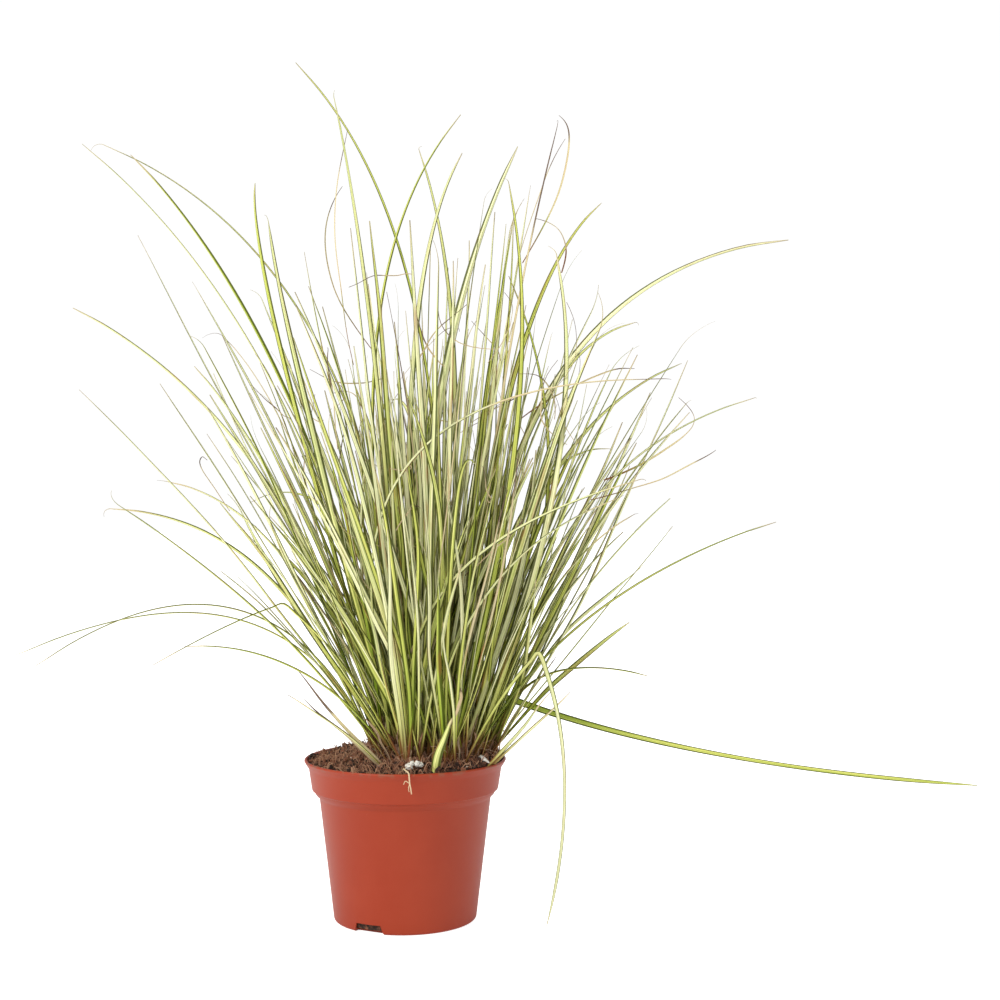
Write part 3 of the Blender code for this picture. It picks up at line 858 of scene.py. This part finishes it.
def drain_cutter(look, angle):
    """A round plug through the floor at an angle in degrees."""
    mesh = bmesh.new()
    radius = look.drain_radius
    depth = look.floor * 3
    bmesh.ops.create_cone(mesh, cap_ends=True, segments=32, radius1=radius, radius2=radius, depth=depth)
    cutter = linked_bmesh("drain", mesh)
    turn = math.radians(angle)
    cutter.location = (look.drain_ring * math.cos(turn), look.drain_ring * math.sin(turn), look.floor / 2)
    return cutter


# Where the foot's notches and the floor's drain holes lie round the pot, in degrees from the right.
NOTCH_ANGLES = (-117, 63)
DRAIN_ANGLES = (-30, 60, 150, 240)


class GRASS_OT_pot(Operator):
    """The moulded pot, with its lip, collar, notches and drain holes"""

    bl_idname = "grass_clump.pot"
    bl_label = "Pot"

    def execute(self, context):
        look = context.scene.pot_look
        mesh = bpy.data.meshes.new("profile")
        profile = pot_profile(look)
        mesh.from_pydata([(r, 0.0, z) for r, z in profile], [(i, i + 1) for i in range(len(profile) - 1)], [])
        turned = linked("turned", mesh)
        screw = turned.modifiers.new("turn", "SCREW")
        screw.steps = screw.render_steps = look.sides
        screw.use_merge_vertices = True
        screw.merge_threshold = 0.00001
        cutters = [notch_cutter(look, angle) for angle in NOTCH_ANGLES]
        cutters += [drain_cutter(look, angle) for angle in DRAIN_ANGLES]
        for cutter in cutters:
            cut = turned.modifiers.new("cut", "BOOLEAN")
            cut.operation = "DIFFERENCE"
            cut.object = cutter
        made = evaluated_mesh(turned)
        for helper in [turned, *cutters]:
            bpy.data.objects.remove(helper)
        pot = linked("nursery_pot", made)
        made.materials.clear()
        made.materials.append(plastic_material(look))
        made.shade_smooth()
        made.set_sharp_from_angle(angle=math.radians(32))
        place_piece(pot, "terracotta_plastic", "pot")
        return {"FINISHED"}


# Potting mix and what lies on it


def tuft_ends(node):
    """Root and tip of a tuft of the frame, from the centres of its lowest and highest sections."""
    places = {tuple(round(part, 6) for part in vertex.co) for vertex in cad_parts[node].data.vertices}
    points = [Vector(place) for place in sorted(places)]
    points.sort(key=lambda point: point.z)
    sections = [points[i:i + TUFT_SIDES] for i in range(0, len(points), TUFT_SIDES)]
    centres = [sum(section, Vector()) / len(section) for section in sections]
    return centres[0], centres[-1]


# The tufts' roots, their middle, and how far out the surface of the mix reaches: a little past its solid.
TUFT_ROOTS = [tuft_ends(node)[0] for node in TUFT_NODES]
CROWN = sum(TUFT_ROOTS, Vector()) / len(TUFT_ROOTS)
TOP_RADIUS = MIX_HIGH.x + 0.0008


def from_crown(place):
    """The way out from the crown's middle to a place, across the floor."""
    return Vector((place.x - CROWN.x, place.y - CROWN.y, 0.0))


def mix_height(look, x, y):
    """The surface of the mix: heaped under the crown, sunk a little at the wall, lumpy all over."""
    reach = math.hypot(x - CROWN.x, y - CROWN.y) / look.heap_radius
    heap = look.heap_rise * max(0.0, 1.0 - reach * reach)
    lumps = look.lump * noise.noise(Vector((x, y, 0.0)) / 0.0085)
    grit = look.grit * noise.noise(Vector((x, y, 0.01)) / 0.0022)
    edge = MIX_HIGH.z - look.heap_rise + look.fill_up
    return edge + look.tilt * y / TOP_RADIUS + heap + lumps + grit


def scattered(rng, reach):
    """A random place in a disc about the pot's axis."""
    radius, turn = reach * math.sqrt(rng.random()), rng.uniform(0, math.tau)
    return radius * math.cos(turn), radius * math.sin(turn)


def wander(rng, look, x, y, steps, stride, lift, curl):
    """A fibre's line over the mix, which turns as it goes and rises between its ends."""
    heading = rng.uniform(0, math.tau)
    turn = rng.gauss(0, curl)
    line = []
    for step in range(steps + 1):
        rise = lift * math.sin(math.pi * step / steps)
        line.append(Vector((x, y, mix_height(look, x, y) + 0.0002 + rise)))
        heading += turn + rng.gauss(0, curl)
        x += stride * math.cos(heading)
        y += stride * math.sin(heading)
        reach = math.hypot(x, y)
        if reach > TOP_RADIUS:
            x, y = x * TOP_RADIUS / reach, y * TOP_RADIUS / reach
    return line


class GRASS_OT_mix(Operator):
    """The root ball of potting mix that fills the pot"""

    bl_idname = "grass_clump.mix"
    bl_label = "Potting mix"

    def execute(self, context):
        look = context.scene.mix_look
        rings, sides, side_rows = look.rings, look.sides, 40
        gap, dent, dent_width = 0.0007, 0.0003, 0.003
        ways = [Vector((math.cos(turn), math.sin(turn), 0.0)) for turn in turns(sides)]
        points = [Vector((0.0, 0.0, mix_height(look, 0.0, 0.0)))]
        for ring in range(1, rings + 1):
            radius = TOP_RADIUS * ring / rings
            for turn in turns(sides):
                x, y = radius * math.cos(turn), radius * math.sin(turn)
                points.append(Vector((x, y, mix_height(look, x, y))))
        edge = MIX_HIGH.z - look.heap_rise - 0.001
        for row in range(1, side_rows + 1):
            height = edge + (MIX_LOW.z - edge) * row / side_rows
            radius = inner_radius(context.scene.pot_look, height) - gap
            for way in ways:
                place = way * radius + Vector((0.0, 0.0, height))
                points.append(place + way * (dent * noise.noise(place / dent_width)))
        points.append(Vector((0.0, 0.0, MIX_LOW.z)))
        faces = [(0, 1 + side, 1 + (side + 1) % sides) for side in range(sides)]
        rows = rings + side_rows
        for row in range(rows - 1):
            low, high = 1 + row * sides, 1 + (row + 1) * sides
            for side in range(sides):
                after = (side + 1) % sides
                faces.append((low + side, high + side, high + after, low + after))
        last, bottom = 1 + (rows - 1) * sides, len(points) - 1
        faces += [(bottom, last + (side + 1) % sides, last + side) for side in range(sides)]
        shape = Shape()
        shape.add(points, faces, tone=(0.42, 0.0, 0.0))
        material = ground_material("damp potting mix", look.peat, look.dry_peat, 420.0, 0.0012)
        place_piece(shape.object("root_ball", material, 60), "potting_mix", "potting_mix")
        return {"FINISHED"}


def resting(rng, look, total, reach, sizes, widths, depths, raised):
    """Centre, size and stretch of grains that lie at random on the mix, raised by a share of their size."""
    for _ in range(total):
        x, y = scattered(rng, reach)
        size = sizes(rng)
        stretch = (1.0, rng.uniform(*widths), rng.uniform(*depths))
        yield Vector((x, y, mix_height(look, x, y) + size * raised)), size, stretch


def crumb_size(rng):
    """Most crumbs are fine, and a few are large."""
    return 0.0004 + 0.0015 * rng.random() ** 2.6


def chip_size(rng):
    return rng.uniform(0.0010, 0.0034)


def speck_size(rng):
    return rng.uniform(0.0004, 0.0011)


class GRASS_OT_crumbs(Operator):
    """Loose crumbs, bark chips and curled fibres on the mix"""

    bl_idname = "grass_clump.crumbs"
    bl_label = "Crumbs, bark and fibres"

    def execute(self, context):
        look = context.scene.mix_look
        rng = random.Random(CRUMB_SEED)
        unit = ball(2)
        crumbs = Shape()
        lying = resting(rng, look, look.crumbs, TOP_RADIUS, crumb_size, (0.6, 1.0), (0.5, 0.9), 0.45)
        for centre, size, stretch in lying:
            add_crumb(crumbs, unit, centre, size, stretch, rng, (rng.random(), 0.0, 0.0), 0.7)
        material = ground_material("peat crumb", look.peat, look.dry_peat, 600.0, 0.0006)
        place_piece(crumbs.object("peat_crumbs", material, 60), "potting_mix")

        chips = Shape()
        lying = resting(rng, look, look.chips, TOP_RADIUS, chip_size, (0.35, 0.6), (0.14, 0.25), 0.35)
        for centre, size, stretch in lying:
            add_crumb(chips, unit, centre, size, stretch, rng, (rng.random(), 0.0, 0.0), 0.3)
        material = ground_material("bark chip", look.peat, look.bark, 300.0, 0.0006, 0.85)
        place_piece(chips.object("bark_chips", material, 30), "potting_mix")

        fibres = Shape()
        for number in range(look.fibres):
            x, y = scattered(rng, TOP_RADIUS - 0.002)
            steps = rng.randint(4, 9)
            stride, lift = rng.uniform(0.0005, 0.0014), rng.uniform(0.0012, 0.0050)
            line = wander(rng, look, x, y, steps, stride, lift, 0.25)
            radius = 0.00013 + 0.00024 * rng.random() ** 2
            tone = (rng.random(), 0.0, 0.0)
            add_thread(fibres, smooth_line(line, steps + 4), radius, tone, 4, number, look.fibres)
        material = fibre_material("peat fibre", look.dry_peat, look.fibre)
        place_piece(fibres.object("peat_fibres", material, 80), "dry_root")
        return {"FINISHED"}


def add_grain(shape, unit, centre, size, stretch, rng):
    """A grain of perlite: a lumpy ball with shallow pits."""
    shift = random_shift(rng)
    turn = Matrix.Rotation(rng.uniform(0, math.tau), 3, "Z")

    def push(point):
        lumps = 0.55 * noise.noise(point * 1.6 + shift)
        bumps = 0.30 * noise.noise(point * 4.0 + shift)
        pits = 0.20 * max(0.0, noise.noise(point * 8.5 + shift)) ** 0.7
        return 1 + lumps + bumps - pits

    add_ball(shape, unit, centre, size, stretch, turn, push)


# The grains of the bright cluster: place and radius as shares of its solid's radius.
PERLITE_CLUSTER = (
    (-1.25, -0.35, -0.05, 0.95),
    (-0.55, 0.35, 0.55, 0.60),
    (0.65, 0.10, 0.45, 0.90),
    (1.45, 0.25, 0.20, 0.62),
    (-1.70, -0.60, -0.35, 0.50),
)


def middle_of(node):
    """The middle of a node's box, and half its width."""
    low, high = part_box(node)
    return (low + high) / 2, (high.x - low.x) / 2


class GRASS_OT_perlite(Operator):
    """The two white places of perlite, and the small specks in the mix"""

    bl_idname = "grass_clump.perlite"
    bl_label = "Perlite"

    def execute(self, context):
        look = context.scene.mix_look
        rng = random.Random(PERLITE_SEED)
        material = perlite_material(look)
        unit = ball(3)
        centre, size = middle_of("perlite_1")
        pair = Shape()
        for across, deep, up, share_of_size in PERLITE_CLUSTER:
            place = centre + Vector((across, deep, up)) * size
            stretch = (1.0, rng.uniform(0.75, 1.0), rng.uniform(0.7, 0.95))
            add_grain(pair, unit, place, size * share_of_size, stretch, rng)
        place_piece(pair.object("perlite_pair", material, 70), "perlite", "perlite_1")

        centre, size = middle_of("perlite_2")
        chip = Shape()
        points, faces = unit
        tilt = Matrix.Rotation(math.radians(32), 3, "Y") @ Matrix.Rotation(math.radians(-20), 3, "Z")
        made = []
        for point in points:
            wedge = 0.35 + 0.65 * (0.5 - 0.5 * point.x)
            push = 1 + 0.12 * noise.noise(point * 2.4) + 0.05 * noise.noise(point * 7.0)
            place = tilt @ Vector((point.x * 2.0, point.y * 1.1 * wedge, point.z * 0.95 * wedge))
            made.append(centre + place * push * size)
        chip.add(made, faces)
        place_piece(chip.object("perlite_chip", material, 50), "perlite", "perlite_2")

        specks = Shape()
        small, reach = ball(2), TOP_RADIUS - 0.002
        for place in resting(rng, look, look.specks, reach, speck_size, (0.6, 1.0), (0.5, 0.9), 0.5):
            add_grain(specks, small, *place, rng)
        place_piece(specks.object("perlite_specks", material, 60), "perlite")
        return {"FINISHED"}


class GRASS_OT_rim_root(Operator):
    """The dry forked root that hangs over the lip"""

    bl_idname = "grass_clump.rim_root"
    bl_label = "Root over the lip"

    def execute(self, context):
        grass = context.scene.grass_look
        low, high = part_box("rim_root")
        front, lip, fork = low.y, POT_HIGH.z, POT_HIGH.z - 0.0042
        trunk = (
            (-0.0015, high.y + 0.006, lip - 0.001),
            (-0.0004, high.y, lip + 0.0016),
            (0.0012, (high.y + front) / 2, lip + 0.0015),
            (0.0030, -POT_HIGH.x - 0.0002, lip + 0.0005),
            (0.0036, front, fork),
        )
        ends = (
            ((0.0042, front + 0.0004, fork - 0.0032), (0.0046, front + 0.0012, low.z)),
            ((0.0030, front + 0.0004, fork - 0.0030), (0.0033, front + 0.0010, low.z + 0.0012)),
            ((0.0013, front - 0.0003, fork + 0.0010), (0.0002, front, fork - 0.0010)),
        )
        shape = Shape()
        for number, branch in enumerate(ends):
            start = trunk[-2:] if number else trunk
            radius = 0.00034 if number else 0.00062
            line = smooth_line([Vector((low.x + x, y, z)) for x, y, z in (*start, *branch)], 40)
            add_thread(shape, line, radius, (0.75, 0.0, 0.0), 8, number, len(ends), 0.45)
        material = fibre_material("dry root", grass.paper, grass.straw)
        place_piece(shape.object("root_over_lip", material, 80), "dry_root", "rim_root")
        return {"FINISHED"}


# Leaves

Station = namedtuple("Station", "centre up half_width")


def rows_from(ring, neighbours):
    """The rows of four corners that follow a first one along a leaf, or None if a row has another count."""
    rows, seen = [], set()
    while ring:
        if len(ring) != 4:
            return None
        rows.append(sorted(ring))
        seen |= ring
        ring = {other for place in ring for other in neighbours[place]} - seen
    return rows


def leaf_sections(node):
    """The four-cornered sections of a swept leaf, from its root on, as stations along its line."""
    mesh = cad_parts[node].data
    places = [tuple(round(part, 6) for part in vertex.co) for vertex in mesh.vertices]
    neighbours = defaultdict(set)
    for face in mesh.polygons:
        corners = [places[corner] for corner in face.vertices]
        for corner in corners:
            neighbours[corner].update(corners)
    first = min(neighbours, key=lambda place: (Vector(place) - CROWN).length)
    nearby = sorted(neighbours, key=lambda place: (Vector(place) - Vector(first)).length)[1:8]
    found = []
    for others in combinations(nearby, 3):
        rows = rows_from({first, *others}, neighbours)
        if rows and 4 * len(rows) == len(neighbours):
            found.append(rows)
    if not found:
        raise RuntimeError(f"{node} isn't a row of four-cornered sections")
    nearest = min(found, key=lambda rows: sum((Vector(place) - Vector(first)).length for place in rows[0]))
    return [station_of([Vector(place) for place in row]) for row in nearest]


def station_of(corners):
    """Edges are the two corners that lie farthest apart. The keel lies farthest from their middle."""
    left, right = max(combinations(corners, 2), key=lambda pair: (pair[0] - pair[1]).length)
    centre = (left + right) / 2
    keel = max((c for c in corners if c is not left and c is not right), key=lambda c: (c - centre).length)
    return Station(centre, (centre - keel).normalized(), (right - left).length / 2)


def half_widths(widths, steps):
    """Half widths along a leaf, drawn in to a fine point over its last stretch."""
    tip_start, least = 0.92, 0.00022
    found = []
    for step, width in enumerate(smooth_line(widths, steps)):
        fall = max(0.0, (step / steps - tip_start) / (1 - tip_start))
        found.append(max(least, width * (1 - 0.80 * fall ** 1.8)))
    return found


# How far a leaf or thread of its own strays from its curve.
WANDER = 0.0022


def rippled(line, rng, amount):
    """Adds slow small bends to a line, none at its root."""
    shift = random_shift(rng)
    last = len(line) - 1
    moved = []
    for i, point in enumerate(line):
        sway = noise.noise_vector(shift + Vector((2.6 * i / last, 0.0, 0.0)))
        moved.append(point + sway * (amount * min(1.0, 3.0 * i / last)))
    return moved


def with_wisp(line, widths, ups, reach, rng, curl=0.20):
    """Continues a leaf past its tip as a thin thread that curls down."""
    way = (line[-1] - line[-2]).normalized()
    bend = Vector((rng.uniform(-1, 1), rng.uniform(-1, 1), rng.uniform(-1.2, 0.2))).normalized()
    steps, narrowing = 10, 0.9
    for _ in range(steps):
        way = (way + bend * curl).normalized()
        line.append(line[-1] + way * (reach / steps))
        widths.append(widths[-1] * narrowing)
        ups.append(ups[-1])


def frame_leaf(node, look, rng):
    """The fine blade of one leaf of the frame."""
    stations = leaf_sections(node)
    steps = int(look.stations * (1.5 if node.startswith("creased") else 1.0))
    way = (stations[1].centre - stations[0].centre).normalized()
    centres = [stations[0].centre - way * look.bury] + [station.centre for station in stations]
    default = Look(rng.uniform(0.10, 0.65), rng.uniform(0.02, 0.07), rng.uniform(0.0, 0.3), rng.uniform(0, 5))
    own = LOOKS.get(node, default)
    slim = look.slimness * own.slim
    turn = Matrix.Rotation(math.radians(own.turn), 3, (centres[-1] - centres[-2]).normalized())
    ups = [turn @ station.up for station in [stations[0], *stations]]
    widths = [station.half_width * slim for station in [stations[0], *stations]]
    line = rippled(smooth_line(centres, steps), rng, 0.0008)
    fine_ups = [up.normalized() for up in smooth_line(ups, steps)]
    kept = own.blunt * max(widths)
    fine_widths = half_widths([max(width, kept) for width in widths], steps)
    if own.wisp:
        with_wisp(line, fine_widths, fine_ups, own.wisp * MM, rng)
    tone = (rng.random(), own.green, own.dry)
    return Blade(line, fine_ups, fine_widths, rng.uniform(0.28, 0.55), tone, own.rust)


class GRASS_OT_leaves(Operator):
    """A fine blade for each leaf of the frame"""

    bl_idname = "grass_clump.leaves"
    bl_label = "Single leaves"

    def execute(self, context):
        look = context.scene.grass_look
        material = leaf_material(look)
        for number, node in enumerate(LEAF_NODES):
            rng = random.Random(LEAF_SEED + number)
            shape = Shape()
            add_blade(shape, frame_leaf(node, look, rng), look.thickness)
            name = node.replace("leaf", "blade")
            place_piece(shape.object(name, material), "leaf", node)
        return {"FINISHED"}


def facing(way, outward, turn):
    """A direction square to a leaf's way: its upper side faces the clump's middle, turned by an angle."""
    inward = (-outward - way * (-outward).dot(way)).normalized()
    return Matrix.Rotation(turn, 3, way) @ inward


def within_frame(place):
    """The place moved inside the frame's box where it lies past it."""
    inside = 0.004
    return Vector(min(max(place[i], CAD_LOW[i] + inside), CAD_HIGH[i] - inside) for i in range(3))


def free_leaf(rng, root, middle, tip, width, look, tone, rust, twist=0.7, steps=None, fold=None):
    """A leaf on a curve of its own, widest some way up, with its upper side to the middle of the clump."""
    widest_at, upright, least = 0.35, 0.004, 0.00016
    steps = steps or look.stations - 6
    line = rippled(arc(root, middle, tip, steps), rng, WANDER)
    outward = from_crown(tip)
    if outward.length < upright:
        outward = Vector((rng.uniform(-1, 1), rng.uniform(-1, 1), 0.0))
    outward.normalize()
    start, end = rng.gauss(0, twist), rng.gauss(0, twist)
    ups, widths = [], []
    for i, way in enumerate(tangents(line)):
        t = i / steps
        ups.append(facing(way, outward, start + (end - start) * t))
        rise = 0.62 + 0.38 * math.sin(math.pi / 2 * min(1.0, t / widest_at))
        fall = max(0.0, (t - widest_at) / (1 - widest_at))
        widths.append(max(least, width / 2 * rise * (1 - 0.84 * fall ** 2.3)))
    return Blade(line, ups, widths, fold or rng.uniform(0.25, 0.60), tone, rust)


# How far the shortest leaf of a bundle reaches, and how much farther the longest, as shares of its tuft.
SHORTEST = 0.52
LONGER = 0.62


def bundle_leaf(rng, root, tip, look, place, total):
    """One leaf of a bundle: it rises from the bundle's patch and ends somewhere about its tip."""
    turn, radius = rng.uniform(0, math.tau), look.root_spread * math.sqrt(rng.random())
    foot = root + Vector((radius * math.cos(turn), radius * math.sin(turn), -look.bury))
    reach = SHORTEST + LONGER * (place + rng.random()) / total
    spread = look.tip_spread * (0.55 + 0.75 * reach)
    outward = from_crown(tip)
    lean = min(look.widest_lean, rng.gauss(-0.06, 0.34))
    end = foot + (tip - root) * reach + outward * lean * reach
    end += Vector((rng.gauss(0, spread), rng.gauss(0, spread), -abs(rng.gauss(0, 0.012)) - 0.05 * abs(lean)))
    end = within_frame(end)
    bow = outward.normalized() * -rng.uniform(-0.004, 0.010) * reach
    half = (foot + end) / 2 + bow + jitter(rng, 0.004, 0.000, 0.009)
    width = look.narrowest + (look.widest - look.narrowest) * rng.random() ** 1.4
    dead = rng.random() < look.dead_share
    if dead:
        tone, rust, width = (rng.random(), rng.uniform(0, 0.3), rng.uniform(0.5, 1.1)), 0.7, width * 0.6
    else:
        green = min(1.0, max(0.0, rng.gauss(0.31, 0.26)))
        tone, rust = (rng.random(), green, rng.uniform(0.01, 0.10)), rng.uniform(0.0, 0.7) ** 2
    leaf = free_leaf(rng, foot, half, end, width, look, tone, rust)
    if rng.random() < look.wisp_share:
        with_wisp(leaf.line, leaf.half_widths, leaf.ups, rng.uniform(0.008, 0.024), rng, 0.09)
    return leaf


class GRASS_OT_bundles(Operator):
    """A bundle of leaves for each tuft of the frame"""

    bl_idname = "grass_clump.bundles"
    bl_label = "Bundles of leaves"

    def execute(self, context):
        look = context.scene.grass_look
        material = bpy.data.materials["variegated leaf"]
        for number, node in enumerate(TUFT_NODES):
            rng = random.Random(TUFT_SEED + number)
            root, tip = tuft_ends(node)
            shape = Shape()
            for place in range(look.bundle):
                leaf = bundle_leaf(rng, root, tip, look, place, look.bundle)
                add_blade(shape, leaf, look.thickness, place, look.bundle)
            place_piece(shape.object(node.replace("tuft", "bundle"), material), "tuft", node)
        return {"FINISHED"}


def dry_curl(rng, root, tip, look):
    """A thin dried end among the upper leaves of a tuft."""
    share_up = rng.uniform(0.42, 0.92)
    home = root.lerp(tip, share_up) + Vector(rng.gauss(0, 0.020) for _ in range(3))
    reach = rng.uniform(0.020, 0.060)
    way = ((tip - root).normalized() + Vector(rng.gauss(0, 0.6) for _ in range(3))).normalized()
    end = within_frame(home + way * reach)
    half = (home + end) / 2 + Vector(rng.gauss(0, reach * 0.16) for _ in range(3))
    tone = (rng.random(), rng.random(), rng.uniform(1.0, 2.6))
    width = rng.uniform(0.0005, 0.0010)
    return free_leaf(rng, home, half, end, width, look, tone, rng.uniform(0.3, 1.0), 1.2, 16)


class GRASS_OT_litter(Operator):
    """Old sheaths, root threads and dry wisps"""

    bl_idname = "grass_clump.litter"
    bl_label = "Old sheaths, threads and wisps"

    def execute(self, context):
        look, mix = context.scene.grass_look, context.scene.mix_look
        rng = random.Random(LITTER_SEED)
        shape = Shape()
        for number in range(look.sheaths):
            home = TUFT_ROOTS[number % len(TUFT_ROOTS)]
            outward = from_crown(home).normalized()
            x, y = home.x + rng.gauss(0, 0.006), home.y + rng.gauss(0, 0.006)
            foot = Vector((x, y, mix_height(mix, x, y) - 0.002))
            reach = rng.uniform(0.006, 0.028)
            lean = outward * reach * rng.uniform(-0.3, 0.5)
            sway = Vector((rng.gauss(0, 0.22), rng.gauss(0, 0.22), 0.0)) * reach
            end = foot + lean + sway + Vector((0.0, 0.0, reach))
            half = (foot + end) / 2 + Vector((rng.gauss(0, 0.0015), rng.gauss(0, 0.0015), 0.001))
            tone = (rng.random(), 0.0, rng.random() ** 2)
            width = rng.uniform(0.0008, 0.0030)
            leaf = free_leaf(rng, foot, half, end, width, look, tone, 0.0, 1.4, 12, rng.uniform(0.3, 0.9))
            add_blade(shape, leaf, look.thickness * 0.7, number, look.sheaths)
        place_piece(shape.object("old_sheaths", paper_material(look)), "dry_root")

        threads = Shape()
        for number in range(look.threads):
            start = TUFT_ROOTS[rng.randrange(len(TUFT_ROOTS))] + jitter(rng, 0.010, 0.000, 0.010)
            end = start + jitter(rng, 0.011, -0.009, 0.004)
            top = (start + end) / 2 + jitter(rng, 0.003, -0.002, 0.005)
            line = rippled(arc(start, top, end, 18), rng, WANDER)
            tone = (rng.random(), 0.0, 0.0)
            add_thread(threads, line, rng.uniform(0.00008, 0.00018), tone, 4, number, look.threads, 0.5)
        material = fibre_material("root thread", look.paper, look.thread)
        place_piece(threads.object("root_threads", material, 80), "dry_root")

        wisps = Shape()
        pieces = len(WISPS) + look.curls
        for number, wisp in enumerate(WISPS):
            start, middle, end = (Vector(place) * MM for place in (wisp.start, wisp.middle, wisp.end))
            tone = (rng.random(), wisp.green, wisp.dry)
            leaf = free_leaf(rng, start, middle, end, wisp.width * MM, look, tone, wisp.rust, 1.0, 36)
            add_blade(wisps, leaf, look.thickness * 0.6, number, pieces)
        for number in range(look.curls):
            leaf = dry_curl(rng, *tuft_ends(TUFT_NODES[number % len(TUFT_NODES)]), look)
            add_blade(wisps, leaf, look.thickness * 0.5, len(WISPS) + number, pieces)
        place_piece(wisps.object("dry_wisps", bpy.data.materials["variegated leaf"]), "leaf")
        return {"FINISHED"}


# Studio


# Each light's place, diameter and tint, and the middle of the plant, which all of them point at.
LIGHTS = {
    "key": ((-0.9, -1.1, 1.0), 0.9, (1.0, 0.985, 0.96)),
    "fill": ((1.2, -0.9, 0.5), 1.0, (0.97, 0.985, 1.0)),
    "top": ((0.1, 0.2, 1.5), 1.0, (1.0, 1.0, 1.0)),
}
LIT_PLACE = Vector((CROWN.x, CROWN.y, 0.22))
WHITE = (1.0, 1.0, 1.0, 1.0)
PALE = (0.9, 0.9, 0.9, 1.0)
ROOM_BRIGHTNESS = 1.02


def add_light(name, power):
    place, size, tint = LIGHTS[name]
    light = bpy.data.lights.new(name, "AREA")
    light.shape = "DISK"
    light.size = size
    light.energy = power
    light.color = tint
    obj = linked(name, light)
    obj.location = place
    obj.rotation_euler = (LIT_PLACE - Vector(place)).to_track_quat("-Z", "Y").to_euler()


def seen_or_cast(tree, seen, cast):
    """A strength that is one value where the camera sees it, and another for the light that it casts."""
    ray = add_node(tree, "ShaderNodeLightPath").outputs["Is Camera Ray"]
    return maths(tree, "MULTIPLY_ADD", ray, seen - cast, cast)


class GRASS_OT_studio(Operator):
    """A pale floor, soft lights and the camera"""

    bl_idname = "grass_clump.studio"
    bl_label = "Studio"

    def execute(self, context):
        look = context.scene.studio_look
        mesh = bmesh.new()
        bmesh.ops.create_circle(mesh, cap_ends=True, segments=64, radius=look.floor_radius)
        floor = linked_bmesh("floor", mesh)
        floor.location.z = POT_LOW.z - 0.0002
        material, tree, shader = new_material("pale floor")
        glow = seen_or_cast(tree, look.floor_glow, look.floor_light)
        feed(tree, shader, {"Base Color": PALE, "Roughness": 0.9, "Specular IOR Level": 0.1})
        feed(tree, shader, {"Emission Color": WHITE, "Emission Strength": glow})
        floor.data.materials.append(material)

        world = bpy.data.worlds.new("soft white room")
        world.use_nodes = True
        tree = world.node_tree
        strength = seen_or_cast(tree, ROOM_BRIGHTNESS, look.sky)
        feed(tree, tree.nodes["Background"], {"Strength": strength, "Color": WHITE})
        context.scene.world = world
        for name in LIGHTS:
            add_light(name, getattr(look, name))

        camera = linked("camera", bpy.data.cameras.new("camera"))
        camera.location = (look.camera_x, -look.distance, look.camera_height)
        camera.rotation_euler = (math.pi / 2, 0.0, 0.0)
        camera.data.lens = look.lens
        camera.data.sensor_width = 36.0
        context.scene.camera = camera
        context.scene.view_settings.view_transform = "Standard"
        return {"FINISHED"}


OPERATORS = (
    GRASS_OT_studio,
    GRASS_OT_pot,
    GRASS_OT_mix,
    GRASS_OT_crumbs,
    GRASS_OT_perlite,
    GRASS_OT_rim_root,
    GRASS_OT_leaves,
    GRASS_OT_bundles,
    GRASS_OT_litter,
)
LOOK_GROUPS = {
    "pot_look": PotLook,
    "mix_look": MixLook,
    "grass_look": GrassLook,
    "studio_look": StudioLook,
}


class GRASS_PT_clump(Panel):
    """The pieces of the clump, in the order that they are built"""

    bl_label = "Grass Clump"
    bl_idname = "GRASS_PT_clump"
    bl_space_type = "VIEW_3D"
    bl_region_type = "UI"
    bl_category = "Grass Clump"

    def draw(self, context):
        for name, group in LOOK_GROUPS.items():
            box = self.layout.box()
            for setting in group.__annotations__:
                box.prop(getattr(context.scene, name), setting)
        for operator in OPERATORS:
            self.layout.operator(operator.bl_idname)


def register():
    for kind in (*LOOK_GROUPS.values(), *OPERATORS, GRASS_PT_clump):
        bpy.utils.register_class(kind)
    for name, group in LOOK_GROUPS.items():
        setattr(bpy.types.Scene, name, PointerProperty(type=group))


def unregister():
    for name in LOOK_GROUPS:
        delattr(bpy.types.Scene, name)
    for kind in reversed((*LOOK_GROUPS.values(), *OPERATORS, GRASS_PT_clump)):
        bpy.utils.unregister_class(kind)


def main():
    register()
    bpy.ops.grass_clump.studio()
    bpy.ops.grass_clump.pot()
    bpy.ops.grass_clump.mix()
    bpy.ops.grass_clump.crumbs()
    bpy.ops.grass_clump.perlite()
    bpy.ops.grass_clump.rim_root()
    bpy.ops.grass_clump.leaves()
    bpy.ops.grass_clump.bundles()
    bpy.ops.grass_clump.litter()


if __name__ == "__main__":
    main()
